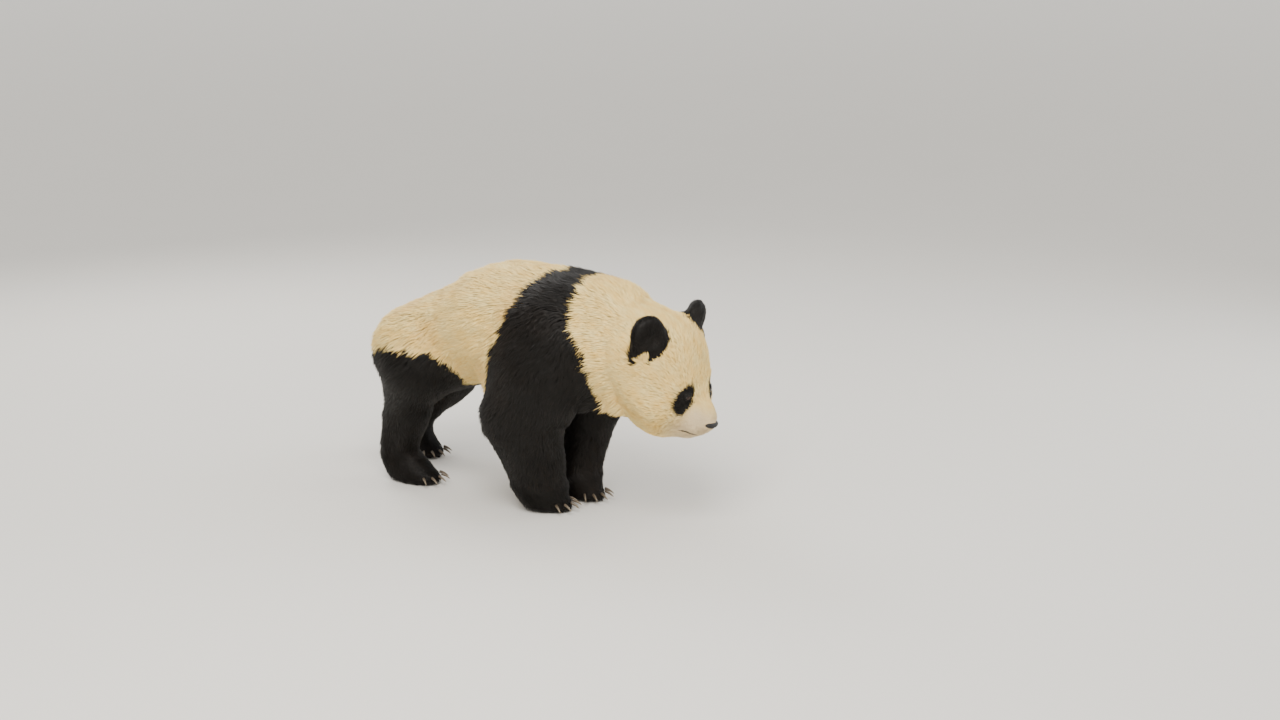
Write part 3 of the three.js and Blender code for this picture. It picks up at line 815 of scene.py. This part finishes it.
def tuft_corners(root, normal, along, length, width, height, rng):
    count = len(root)
    along = unit(along_surface(along, normal))
    beside = np.cross(along, normal)
    turn = 0.20 * wander(root, 0.09, 11) + 0.13 * rng.normal(size=count)
    along = along * np.cos(turn)[:, None] + beside * np.sin(turn)[:, None]
    length = length * (1 + 0.16 * rng.normal(size=count).clip(-2, 2) + 0.08 * wander(root, 0.05, 12))
    height = height * (0.92 + 0.12 * rng.normal(size=count).clip(-2, 2) + 0.10 * wander(root, 0.06, 13))
    width = width * (1 + 0.2 * rng.normal(size=count).clip(-2, 2))
    gather = gather_tips(root, root + along * length[:, None], normal, length, rng)
    rings = []
    for t, thick in RINGS:
        bow = 1 - (1 - t) ** 1.8
        centre = root + along * (length * t)[:, None] + gather * t ** 1.5
        centre += normal * (height * bow - 0.0015 * (1 - t))[:, None]
        ahead = along * length[:, None] + gather * 1.5 * t ** 0.5
        ahead = unit(ahead + normal * (height * 1.8 * (1 - t) ** 0.8)[:, None])
        across = unit(np.cross(ahead, normal))
        crest = np.cross(across, ahead)
        half = (width * thick / 2)[:, None]
        if thick == 0:
            rings.append(centre)
        else:
            rings += [centre - across * half, centre + crest * half * 0.6, centre + across * half]
    corners = np.stack(rings, 1)
    corners[:, :, 2] = np.maximum(corners[:, :, 2], FLOOR_GAP)
    return corners


# %% [markdown]
# ## A mesh of many tufts
#
# A real hair is too thin to show light and dark sides of its own, and a coat shades as one
# soft surface. So each tuft's normals are mostly those of the skin under it, tilted a little
# by chance. Each tuft's UV patch is tiny and lies at its root's place on the skin's unwrap.

# %% Make the mesh of a coat
FACE_CORNERS = np.array([corner for face in tuft_faces for corner in face])
FACE_SIZES = [len(face) for face in tuft_faces]
UV_PATCH = 0.003


def tuft_mesh(name, corners, normal, uv, rng):
    loops = FACE_CORNERS[None] + (np.arange(len(corners)) * CORNERS)[:, None]
    sizes = np.tile(FACE_SIZES, len(corners))
    mesh = bpy.data.meshes.new(name)
    mesh.vertices.add(len(corners) * CORNERS)
    mesh.vertices.foreach_set("co", corners.astype(np.float32).ravel())
    mesh.loops.add(loops.size)
    mesh.loops.foreach_set("vertex_index", loops.astype(np.int32).ravel())
    mesh.polygons.add(len(sizes))
    mesh.polygons.foreach_set("loop_start", np.concatenate([[0], np.cumsum(sizes)[:-1]]).astype(np.int32))
    mesh.update(calc_edges=True)
    mesh.shade_smooth()
    own = read(mesh.vertex_normals, "vector").astype(float)
    tilted = unit(normal + 0.13 * rng.normal(size=normal.shape))
    soft = unit(own * 0.28 + np.repeat(tilted, CORNERS, 0) * 0.72)
    mesh.normals_split_custom_set_from_vertices(soft)
    spread = (uv[:, None] + (np.array(tuft_uv) - 0.5)[None] * UV_PATCH).reshape(-1, 2)
    mesh.uv_layers.new(name="OFBake").data.foreach_set("uv", spread.astype(np.float32).ravel())
    return mesh


# %% [markdown]
# ## Stretches of skin
#
# The whole coat is over a million triangles, so it's grown in pieces, each from its own
# stretch of skin. The largest stretches are parted again into right and left. The skin also
# gets its attributes here, which its material reads as it reads those of the tufts.

# %% Stretches of skin
STRETCHES = {
    "coat_face": ("muzzle", "lower_jaw", "nose", "eye"),
    "coat_head": ("head",),
    "coat_ears": ("ear",),
    "coat_neck": ("neck",),
    "coat_shoulders": ("shoulders",),
    "coat_flank": ("barrel",),
    "coat_rump": ("rump", "tail"),
    "coat_foreleg": ("upper_foreleg", "forearm"),
    "coat_hindleg": ("thigh", "shank"),
    "coat_forepaw": ("forepaw",),
    "coat_hindpaw": ("hindpaw",),
}
SIDED = ("coat_flank", "coat_foreleg", "coat_hindleg")


def attribute(mesh, name, values):
    values = np.asarray(values, np.float32)
    kind, field = ("FLOAT_VECTOR", "vector") if values.ndim > 1 else ("FLOAT", "value")
    mesh.attributes.new(name, kind, "POINT").data.foreach_set(field, values.ravel())


attribute(skin.data, "black", shown_black)
attribute(skin.data, "grey", greyness(points, label))
# the skin counts as partway along a tuft, so it takes some of the roots' painted shade
attribute(skin.data, "along", np.full(len(points), 0.3))
attribute(skin.data, "tint", 0.5 + 0.2 * wander(points, 0.02, 9))
attribute(skin.data, "bare", bare.astype(float))
face_vertices = [tuple(p.vertices) for p in skin.data.polygons]
face_label = label[[v[0] for v in face_vertices]]
face_side = np.where(read(skin.data.polygons, "center")[:, 0] < 0, "right", "left")
print("stretches:", len(STRETCHES), "faces of skin on the right:", int((face_side == "right").sum()))

# %% [markdown]
# ## Unwrap a stretch
#
# A baked colour needs a flat map of the coat, and unwrapping thousands of tufts one by one
# would leave nothing of it readable. A copy of the skin under them unwraps cleanly instead,
# and lends its map to the tufts that grow on it. The copy is then thrown away.

# %% Unwrap some of the skin


def unwrapped(name, chosen):
    """Some faces of the skin, as triangles: their corners' numbers, their areas and their UV places."""
    used = np.unique(np.concatenate([face_vertices[i] for i in chosen]))
    number = {int(v): i for i, v in enumerate(used)}
    mesh = bpy.data.meshes.new(name)
    mesh.from_pydata(points[used].tolist(), [], [[number[v] for v in face_vertices[i]] for i in chosen])
    mesh.uv_layers.new(name="OFBake")
    piece = add_object(name, mesh)
    edit_all(piece)
    bpy.ops.uv.smart_project(angle_limit=math.radians(66), island_margin=0.004)
    leave_edit()
    mesh.calc_loop_triangles()
    triangles = used[read(mesh.loop_triangles, "vertices", kind=np.int32)]
    loops = read(mesh.loop_triangles, "loops", kind=np.int32)
    area = read(mesh.loop_triangles, "area", 1)
    uv = read(mesh.uv_layers["OFBake"].data, "uv", 2).astype(float)
    uv = (uv - uv.min(0)) / (uv.max(0) - uv.min(0)) * 0.99 + 0.005
    bpy.data.objects.remove(piece)
    return triangles, area, uv[loops]


# %% [markdown]
# ## Grow a piece of coat
#
# Each triangle of skin gets as many tufts as its area and the spacing there ask for, at
# chance places on it. What a tuft needs is then read off the skin at its root: the normal,
# the lie, the measures and the UV place. Its colour is that of the place where it's seen,
# which is past its middle and out from the skin.

# %% Grow tufts on a stretch


def scatter(wanted, rng):
    """Given how many tufts each triangle wants: each tuft's triangle, and its place in it as weights."""
    total = np.cumsum(wanted) + rng.uniform()
    number = np.floor(total).astype(int) - np.floor(np.concatenate([[0], total[:-1]])).astype(int)
    home = np.repeat(np.arange(len(wanted)), number)
    a, b = rng.uniform(size=(2, len(home)))
    flip = a + b > 1
    a[flip], b[flip] = 1 - a[flip], 1 - b[flip]
    return home, np.stack([1 - a - b, a, b], 1)[:, :, None]


def grow(name, chosen, seed):
    rng = np.random.default_rng(seed)
    triangles, area, triangle_uv = unwrapped(name + "_skin", chosen)
    spacing = MEASURES[label, 3] * MM
    wanted = area * grows[triangles].mean(1) / spacing[triangles].mean(1) ** 2
    home, weights = scatter(np.where(bare[triangles].any(1), 0, wanted), rng)
    numbers = triangles[home]
    root, normal, along, sizes = [(values[numbers] * weights).sum(1)
                                  for values in (points, normals, lie, measures)]
    root_uv = (triangle_uv[home] * weights).sum(1)
    root_label = label[numbers[:, 0]]
    depth, length, width = sizes.T
    normal, along = unit(normal), unit(along)
    corners = tuft_corners(root, normal, along, length, width, depth, rng)
    made = tuft_mesh(name, corners, normal, root_uv, rng)
    shown = root + along * (length * 0.6)[:, None] + normal * (depth * 0.8)[:, None]
    black = blackness(shown + rng.normal(size=root.shape) * 0.0015, root_label)
    tint = 0.5 + 0.22 * rng.normal(size=len(root)).clip(-2, 2) + 0.25 * wander(root, 0.045, 14)
    attribute(made, "black", np.repeat(black, CORNERS))
    attribute(made, "grey", np.repeat(greyness(shown, root_label), CORNERS))
    # how far along its tuft each corner lies, which sets the painted shade at the root
    attribute(made, "along", np.tile(np.repeat(LEVELS, [3] * (len(RINGS) - 1) + [1]), len(root)))
    attribute(made, "tint", np.repeat(tint, CORNERS))
    made.calc_loop_triangles()
    print(f"{name}: {len(root)} tufts, {len(made.loop_triangles)} triangles")
    return add_object(name, made)


# %% [markdown]
# ## Grow the whole coat
#
# Every stretch has a seed of its own, so the coat comes out the same each time, and a change
# to one stretch leaves the others as they were.

# %% Grow it
coats = []
for seed, (name, parts) in enumerate(STRETCHES.items()):
    mine = is_part(face_label, *parts)
    if name in SIDED:
        for one_side in ("right", "left"):
            chosen = np.flatnonzero(mine & (face_side == one_side))
            coats.append(grow(f"{name}_{one_side}", chosen, 100 + seed))
    else:
        coats.append(grow(name, np.flatnonzero(mine), 100 + seed))
print("triangles of coat in all:", sum(len(coat.data.loop_triangles) for coat in coats))

# %% [markdown]
# ## Shader maths as plain expressions
#
# A material is a net of nodes. One small class wraps a socket, so that sums and products can
# be written as on paper. Its reflected forms let a plain number come first, as in 1 - mask.

# %% A class for shader values


class Shade:
    """A socket's value: an expression on it adds Math nodes."""

    def __init__(self, finish, socket):
        self.finish, self.socket = finish, socket

    def maths(self, operation, first, second):
        return self.finish.node("ShaderNodeMath", {"operation": operation}, {0: first, 1: second})

    def __add__(self, other):
        return self.maths("ADD", self, other)

    def __sub__(self, other):
        return self.maths("SUBTRACT", self, other)

    def __rsub__(self, other):
        return self.maths("SUBTRACT", other, self)

    def __mul__(self, other):
        return self.maths("MULTIPLY", self, other)

    def __pow__(self, other):
        return self.maths("POWER", self, other)

    __radd__ = __add__
    __rmul__ = __mul__


# %% [markdown]
# ## A material and its nodes
#
# One method makes any node from its type, its settings and the values or links of its
# sockets, and the others are short names for the nodes used most. Colours go through a Mix
# node, because a Math node would turn them grey. What is the same all over a surface is set on
# the shader's own sockets.

# %% A class for finishes


class Finish:
    """A material whose constants sit on the shader's own sockets."""

    def __init__(self, name, **constants):
        self.material = bpy.data.materials.new(name)
        self.material.use_nodes = True
        self.tree = self.material.node_tree
        self.shader = self.tree.nodes["Principled BSDF"]
        for socket, value in constants.items():
            self.shader.inputs[socket.replace("_", " ")].default_value = value

    def feed(self, socket, value):
        if isinstance(value, Shade):
            self.tree.links.new(value.socket, socket)
        else:
            socket.default_value = value

    def vary(self, socket, value):
        self.feed(self.shader.inputs[socket], value)

    def node(self, kind, settings=None, inputs=None, output=0):
        made = self.tree.nodes.new(kind)
        for name, value in (settings or {}).items():
            setattr(made, name, value)
        for socket, value in (inputs or {}).items():
            self.feed(made.inputs[socket], value)
        return Shade(self, made.outputs[output])

    def mix(self, factor, first, second):
        return self.node("ShaderNodeMix", {"data_type": "RGBA"}, {0: factor, 6: first, 7: second}, 2)

    def attribute(self, name, output="Fac"):
        return self.node("ShaderNodeAttribute", {"attribute_name": name}, output=output)

    def place(self):
        return self.node("ShaderNodeTexCoord", output="Object")

    def noise(self, scale, detail=2.0):
        return self.node("ShaderNodeTexNoise", {}, {"Vector": self.place(), "Scale": scale, "Detail": detail})

    def part(self, vector, axis):
        return self.node("ShaderNodeSeparateXYZ", {}, {0: vector}, axis)

    def rise(self, value, low, high):
        return self.node("ShaderNodeMapRange", {"interpolation_type": "SMOOTHSTEP"},
                         {"Value": value, "From Min": low, "From Max": high})

    def bump(self, height, depth):
        inputs = {"Height": height, "Distance": depth, "Strength": 1.0}
        self.vary("Normal", self.node("ShaderNodeBump", {}, inputs))


def colour(red, green, blue):
    """A colour as a paint chart gives it, 0 to 255, made ready for a shader."""
    return tuple((v / 255 / 12.92 if v <= 10 else ((v / 255 + 0.055) / 1.055) ** 2.4)
                 for v in (red, green, blue)) + (1.0,)


# %% [markdown]
# ## Hair and skin
#
# A panda's white is never clean: it is cream, stained warmer in patches, with a greyer
# muzzle. Its black is a brown black that goes rusty in patches of its own. A cream tuft is
# painted darker at its root, as painted shade where less light gets in, and each tuft is a
# little different from the next. The skin has the coat's colours, with some of the roots'
# painted shade, so none of it shines through, but for its dark bare places.

# %% Hair and skin
CREAM, CREAM_PALE = colour(248, 208, 119), colour(254, 228, 155)
# the second colour on the next line is painted shade: the darker cream at the tufts' roots, where less light
# gets in
CREAM_STAINED, CREAM_ROOT_SHADE = colour(220, 171, 97), colour(200, 156, 96)
MUZZLE_GREY = colour(226, 206, 172)
BLACK_HAIR, BLACK_RUSTY = colour(10, 8, 6), colour(30, 21, 14)
BARE_SKIN = colour(30, 27, 26)


def coat_colour(finish):
    tint = finish.attribute("tint")
    stained = finish.rise(finish.noise(4.5, 4), 0.47, 0.68)
    cream = finish.mix(tint, CREAM, CREAM_PALE)
    cream = finish.mix(stained * 0.55, cream, CREAM_STAINED)
    cream = finish.mix(finish.attribute("grey") * 0.85, cream, MUZZLE_GREY)
    # painted shade: cream turns darker towards each tuft's root, where less light gets in
    cream = finish.mix((1 - finish.attribute("along")) ** 2.0 * 0.35, cream, CREAM_ROOT_SHADE)
    rusty = finish.rise(finish.noise(3.0, 4), 0.45, 0.75)
    black = finish.mix(rusty * 0.45 + tint * 0.2, BLACK_HAIR, BLACK_RUSTY)
    return finish.mix(finish.attribute("black"), cream, black)


hair = Finish("panda_hair", Sheen_Weight=0.04, Sheen_Roughness=0.5, Specular_IOR_Level=0.2)
hair.vary("Base Color", coat_colour(hair))
hair.vary("Roughness", 0.62 - hair.attribute("black") * 0.12)

hide = Finish("panda_skin", Specular_IOR_Level=0.3)
hide.vary("Base Color", hide.mix(hide.attribute("bare"), coat_colour(hide), BARE_SKIN))
hide.vary("Roughness", 0.78 - hide.attribute("bare") * 0.25)
hide.bump(hide.noise(900, 3) * 0.5 + hide.noise(260, 2), 0.0008)

for coat in coats:
    coat.data.materials.append(hair.material)
skin.data.materials.append(hide.material)
skin.data.shade_smooth()
print("finishes so far:", [m.name for m in bpy.data.materials if m.users])

# %% [markdown]
# ## The colour of the eyes
#
# A panda's eye is a very dark brown, with an upright slit for a pupil, as a cat has, a dark
# ring round the iris and a dark edge to the ball. An attribute holds each point's place in
# the eye's own frame, so that one material does both eyes.

# %% The eyes' finish
eyeball = Finish("eyeball", Roughness=0.16, Specular_IOR_Level=0.2, Coat_Weight=0.35, Coat_Roughness=0.03)
spot = eyeball.attribute("gaze", "Vector")
beside_pupil, above_pupil = eyeball.part(spot, "X"), eyeball.part(spot, "Y")
from_pupil = (beside_pupil * beside_pupil + above_pupil * above_pupil) ** 0.5
slit = ((beside_pupil * 2.6) * (beside_pupil * 2.6) + above_pupil * above_pupil) ** 0.5
fibres = eyeball.node("ShaderNodeTexNoise", {}, {"Vector": spot, "Scale": 14.0, "Detail": 4.0})
iris = eyeball.mix(fibres, colour(20, 11, 7), colour(52, 30, 17))
iris = eyeball.mix(eyeball.rise(from_pupil, 0.50, 0.62), iris, colour(9, 6, 5))
iris = eyeball.mix(eyeball.rise(from_pupil, 0.70, 0.80), iris, colour(22, 16, 14))
iris = eyeball.mix(1 - eyeball.rise(slit, 0.26, 0.32), iris, colour(4, 4, 4))
eyeball.vary("Base Color", iris)
print("nodes in the eye's finish:", len(eyeball.tree.nodes))

# %% [markdown]
# ## The eyeballs
#
# The eyes are small and round and set under the lids. Each ball starts as a sphere, and the
# part that looks out is pulled forward a little for the cornea.

# %% Make the eyeballs
CORNEA = 0.10  # how far it stands out, in radii of the ball
eyeballs = []
for side, axes in gaze.items():
    only()
    centre = Vector(from_head(eye_local[side] - axes[2] * EYE_SET_BACK)[0])
    bpy.ops.mesh.primitive_uv_sphere_add(segments=40, ring_count=24, radius=EYE_RADIUS, location=centre)
    ball = bpy.context.object
    ball.name = f"eyeball_{side}"
    bpy.ops.object.transform_apply(location=True, rotation=True, scale=True)
    turn = axes @ HEAD_TURN
    spots = (places(ball) - np.array(centre)) @ turn.T / EYE_RADIUS
    cornea = ramp(spots[:, 2], 0.80, 1.0) * CORNEA
    set_places(ball, places(ball) + (spots * cornea[:, None]) @ turn * EYE_RADIUS)
    attribute(ball.data, "gaze", spots)
    ball.data.shade_smooth()
    ball.data.materials.append(eyeball.material)
    eyeballs.append(ball)
print("eyeballs:", [ball.name for ball in eyeballs], "radius, mm:", round(EYE_RADIUS / MM, 1))

# %% [markdown]
# ## The nose
#
# The nose is a broad pad of bare leather, wider above than below, with a dent down its
# middle. It starts as a cube, cut finer and rounded to a ball, which has no poles to pinch.
# Soft pushes then give it the pad's outline.

# %% Make the nose
only()
bpy.ops.mesh.primitive_cube_add(size=2)
pad = bpy.context.object
pad.name = "nose_pad"
edit_all(pad)
bpy.ops.mesh.subdivide(number_cuts=7)
bpy.ops.transform.tosphere(value=1.0)
leave_edit()
p = places(pad)
p /= np.abs(p).max(0)
out, above = np.abs(p[:, 0]), p[:, 2]
p[:, 0] *= 1 - 0.28 * ramp(-above, -0.1, 1.0)
p[:, 2] += 0.12 * out ** 2 * ramp(-p[:, 1], 0.0, 0.6)
p[:, 1] += 0.16 * ramp(-out, -0.16, 0.0) * ramp(-above, -0.5, 0.4) * ramp(-p[:, 1], 0.3, 0.8)
p[:, 1] -= 0.05
set_places(pad, from_head(p * NOSE_HALF + NOSE_PLACE))
nose_size = np.ptp(in_head(places(pad)), axis=0)
print("nose pad, mm:", (nose_size / MM).round(1))

# %% [markdown]
# ## The nostrils
#
# A nostril opens on each side of the pad. The faces there are inset and pushed in a few times,
# as by hand, and subdivision smooths the lot.

# %% Open the nostrils
q = in_nose(in_head(read(pad.data.polygons, "center")))
at_nostril = np.hypot((np.abs(q[:, 0]) - 0.50) / 0.26, (q[:, 2] + 0.06) / 0.34) < 1
at_nostril &= q[:, 1] < -0.3
select_faces(pad, at_nostril)
for thickness, depth in ((0.0009, 0.0004), (0.0009, -0.0030), (0.0005, -0.0040)):
    bpy.ops.mesh.inset(thickness=thickness, depth=depth, use_even_offset=False)
leave_edit()
apply_modifier(pad, "SUBSURF", levels=2, render_levels=2)
pad.data.shade_smooth()
print("nostril faces:", int(at_nostril.sum()))

# %% [markdown]
# ## Nose leather
#
# A panda's nose is almost black and pebbled like fine leather, damp enough for a dull shine.
# Soft Voronoi cells give the pebbles as bump, and a slow noise keeps the black from being flat.

# %% The nose's finish
leather = Finish("nose_leather", Roughness=0.5, Specular_IOR_Level=0.35, Coat_Weight=0.08,
                 Coat_Roughness=0.35)
pebbles = leather.node("ShaderNodeTexVoronoi", {"feature": "SMOOTH_F1"},
                       {"Vector": leather.place(), "Scale": 620.0})
leather.vary("Base Color", leather.mix(leather.noise(160, 3), colour(9, 8, 8), colour(27, 22, 20)))
leather.bump(pebbles * -1.0, 0.0007)
pad.data.materials.append(leather.material)
print("nodes in the nose's finish:", len(leather.tree.nodes))

# %% [markdown]
# ## One claw
#
# Each foot has five claws, flattened from side to side, curved down and ending in a point. One
# claw is spun from a disc through a short arc, tapered along it and smoothed. A negative angle
# makes the spin run forward, the way the toes point.

# %% Model one claw
CLAW_LENGTH, CLAW_BEND, CLAW_RADIUS = 34 * MM, 0.55, 5.2 * MM
CLAW_ARC = CLAW_LENGTH / CLAW_BEND  # radius of the arc that the claw follows
only()
bpy.ops.mesh.primitive_circle_add(vertices=12, radius=CLAW_RADIUS, fill_type="NGON",
                                  rotation=(math.pi / 2, 0, 0))
claw = bpy.context.object
bpy.ops.object.transform_apply(location=True, rotation=True, scale=True)
edit_all(claw)
bpy.ops.mesh.spin(steps=9, angle=-CLAW_BEND, center=(0, 0, -CLAW_ARC), axis=(1, 0, 0))
bpy.ops.mesh.select_all(action="SELECT")
bpy.ops.mesh.remove_doubles(threshold=0.00001)
bpy.ops.mesh.normals_make_consistent(inside=False)
leave_edit()
p = places(claw)
turned = np.arctan2(-p[:, 1], p[:, 2] + CLAW_ARC)
share_out = np.clip(turned / CLAW_BEND, 0, 1)
spine = np.stack([0 * turned, -np.sin(turned) * CLAW_ARC, np.cos(turned) * CLAW_ARC - CLAW_ARC], 1)
taper = (0.98 * (1 - share_out ** 1.6) ** 0.8 + 0.05)[:, None]
from_spine = (p - spine) * taper
from_spine[:, 0] *= 0.78
from_spine *= np.where(from_spine[:, 2:] < 0, 0.82, 1.0)
set_places(claw, spine + from_spine)
apply_modifier(claw, "SUBSURF", levels=1, render_levels=1)
attribute(claw.data, "along", np.clip(np.linalg.norm(places(claw), axis=1) / CLAW_LENGTH, 0, 1))
claw.data.shade_smooth()
print("claw box, mm:", (places(claw).min(0) / MM).round(1), (places(claw).max(0) / MM).round(1))

# %% [markdown]
# ## Horn
#
# The claws are dark horn, worn to a paler tip and streaked by fine noise. The claw carries
# its own length as an attribute, so the wear follows it however it is turned.

# %% The claws' finish
horn = Finish("claw_horn", Roughness=0.35, Specular_IOR_Level=0.5)
streaks = horn.noise(300, 3)
worn = horn.mix(horn.attribute("along"), colour(66, 56, 47), colour(150, 134, 110))
horn.vary("Base Color", horn.mix(streaks * 0.5, worn, colour(40, 34, 29)))
horn.bump(streaks, 0.0003)
claw.data.materials.append(horn.material)
print("nodes in the claws' finish:", len(horn.tree.nodes))

# %% [markdown]
# ## A claw at each place
#
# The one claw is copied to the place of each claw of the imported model, turned the way that one
# points and tipped down, and each foot's five are joined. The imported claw's root and tip give
# its direction.

# %% Put a claw at each place
CLAW_DROP = math.radians(12)
claws = {}
for paw_name in ("forepaw_right", "forepaw_left", "hindpaw_right", "hindpaw_left"):
    foot = middle(paw_name)
    copies = []
    for i in range(1, 6):
        p = places(solids[f"{paw_name}_claw_{i}"])
        tip = p[np.argmax(np.hypot(p[:, 0] - foot.x, p[:, 1] - foot.y))]
        root = p[np.argsort(np.linalg.norm(p - tip, axis=1))][-15:].mean(0)
        yaw = math.atan2(tip[0] - root[0], -(tip[1] - root[1]))
        place = Matrix.Translation(root) @ Matrix.Rotation(yaw, 4, "Z") @ Matrix.Rotation(CLAW_DROP, 4, "X")
        copy = add_object(f"{paw_name}_horn_{i}", claw.data.copy())
        copy.data.transform(place)
        copies.append(copy)
    only(*copies)
    bpy.ops.object.join()
    claws[paw_name] = bpy.context.object
    claws[paw_name].name = "claws_" + paw_name
bpy.data.objects.remove(claw)
for piece in claws.values():
    print(piece.name, "lowest point, mm:", round(places(piece)[:, 2].min() / MM, 1))

# %% [markdown]
# ## Which piece stands for which solid
#
# The animal is a still model, so every piece rides on its one body. The skin stands for all
# the flesh, and the eyes, nose and claws stand for their own solids.

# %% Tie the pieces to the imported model
OWN_PIECE = ("eye_left", "eye_right", "nose")
for piece in (skin, *coats, *eyeballs, pad, *claws.values()):
    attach(piece, "root")
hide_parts(*[name for name in flesh if name not in OWN_PIECE])
for ball in eyeballs:
    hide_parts(ball.name.replace("eyeball", "eye"))
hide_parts("nose")
for paw_name, piece in claws.items():
    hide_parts(*[f"{paw_name}_claw_{i}" for i in range(1, 6)])
print("pieces on the one body:", 2 + len(coats) + len(eyeballs) + len(claws))

# %% [markdown]
# ## The floor
#
# The floor is a wide pale disc that curves up far away on every side, as the paper in a studio
# does, so no hard horizon shows behind the animal. Its profile is a row of points, spun once
# round. The part that rises faces less of the sky, so its paper is a little paler, to look as
# bright as the flat.

# %% Lay the floor
FLAT, CURVE, WALL = 6.0, 11.0, 9.0  # how far out the flat and the bend reach, and how high the bend
profile = [(0, 0), (FLAT / 2, 0)]
profile += [(FLAT + CURVE * math.sin(a), WALL * (1 - math.cos(a))) for a in np.linspace(0, math.pi / 2, 25)]
outline = bpy.data.meshes.new("studio_floor")
outline.from_pydata([(r, 0, h) for r, h in profile], [(i, i + 1) for i in range(len(profile) - 1)], [])
floor = add_object("studio_floor", outline)
edit_all(floor)
bpy.ops.mesh.spin(steps=96, angle=2 * math.pi, center=(0, 0, 0), axis=(0, 0, 1))
bpy.ops.mesh.select_all(action="SELECT")
bpy.ops.mesh.remove_doubles(threshold=0.0005)
bpy.ops.mesh.normals_make_consistent(inside=True)
leave_edit()
floor.data.shade_smooth()
paper = Finish("studio_paper", Roughness=0.8, Specular_IOR_Level=0.2)
flat = paper.mix(paper.noise(1.5, 3) * 0.4, colour(228, 225, 219), colour(222, 218, 211))
risen = paper.rise(paper.part(paper.place(), "Z"), 0.02, 3.0)
paper.vary("Base Color", paper.mix(risen, flat, colour(251, 250, 247)))
floor.data.materials.append(paper.material)
facing = read(floor.data.polygons, "normal")[:, 2].mean()
print("floor reaches", FLAT + CURVE, "m, its faces point up:", facing > 0)

# %% [markdown]
# ## Light the model
#
# One large soft light hangs high on the camera's side, weaker ones stand on the other side and
# behind, and an even pale sky keeps the shadows soft. Large lights are what make a coat look
# soft, since each tuft's shadow runs out before it reaches the next.

# %% Light the model


def soft_light(name, place, target, size, power, tone):
    light = add_object(name, bpy.data.lights.new(name, "AREA"))
    light.data.size = size
    light.data.energy = power
    light.data.color = tone
    light.location = place
    light.rotation_mode = "QUATERNION"
    light.rotation_quaternion = (Vector(target) - Vector(place)).to_track_quat("-Z", "Y")


soft_light("key", (-2.6, -1.6, 3.6), (0, 0, 0.35), 2.2, 205, (1.0, 0.97, 0.92))
soft_light("fill", (3.0, -2.4, 2.4), (0, 0, 0.4), 2.6, 60, (0.94, 0.97, 1.0))
soft_light("rim", (1.2, 3.4, 3.0), (0, 0, 0.4), 2.2, 95, (1.0, 0.98, 0.95))
world = bpy.data.worlds.new("studio")
bpy.context.scene.world = world
world.use_nodes = True
world.node_tree.nodes["Background"].inputs["Color"].default_value = (0.87, 0.86, 0.84, 1)
world.node_tree.nodes["Background"].inputs["Strength"].default_value = 1.2
print("lights:", [light.name for light in bpy.data.lights])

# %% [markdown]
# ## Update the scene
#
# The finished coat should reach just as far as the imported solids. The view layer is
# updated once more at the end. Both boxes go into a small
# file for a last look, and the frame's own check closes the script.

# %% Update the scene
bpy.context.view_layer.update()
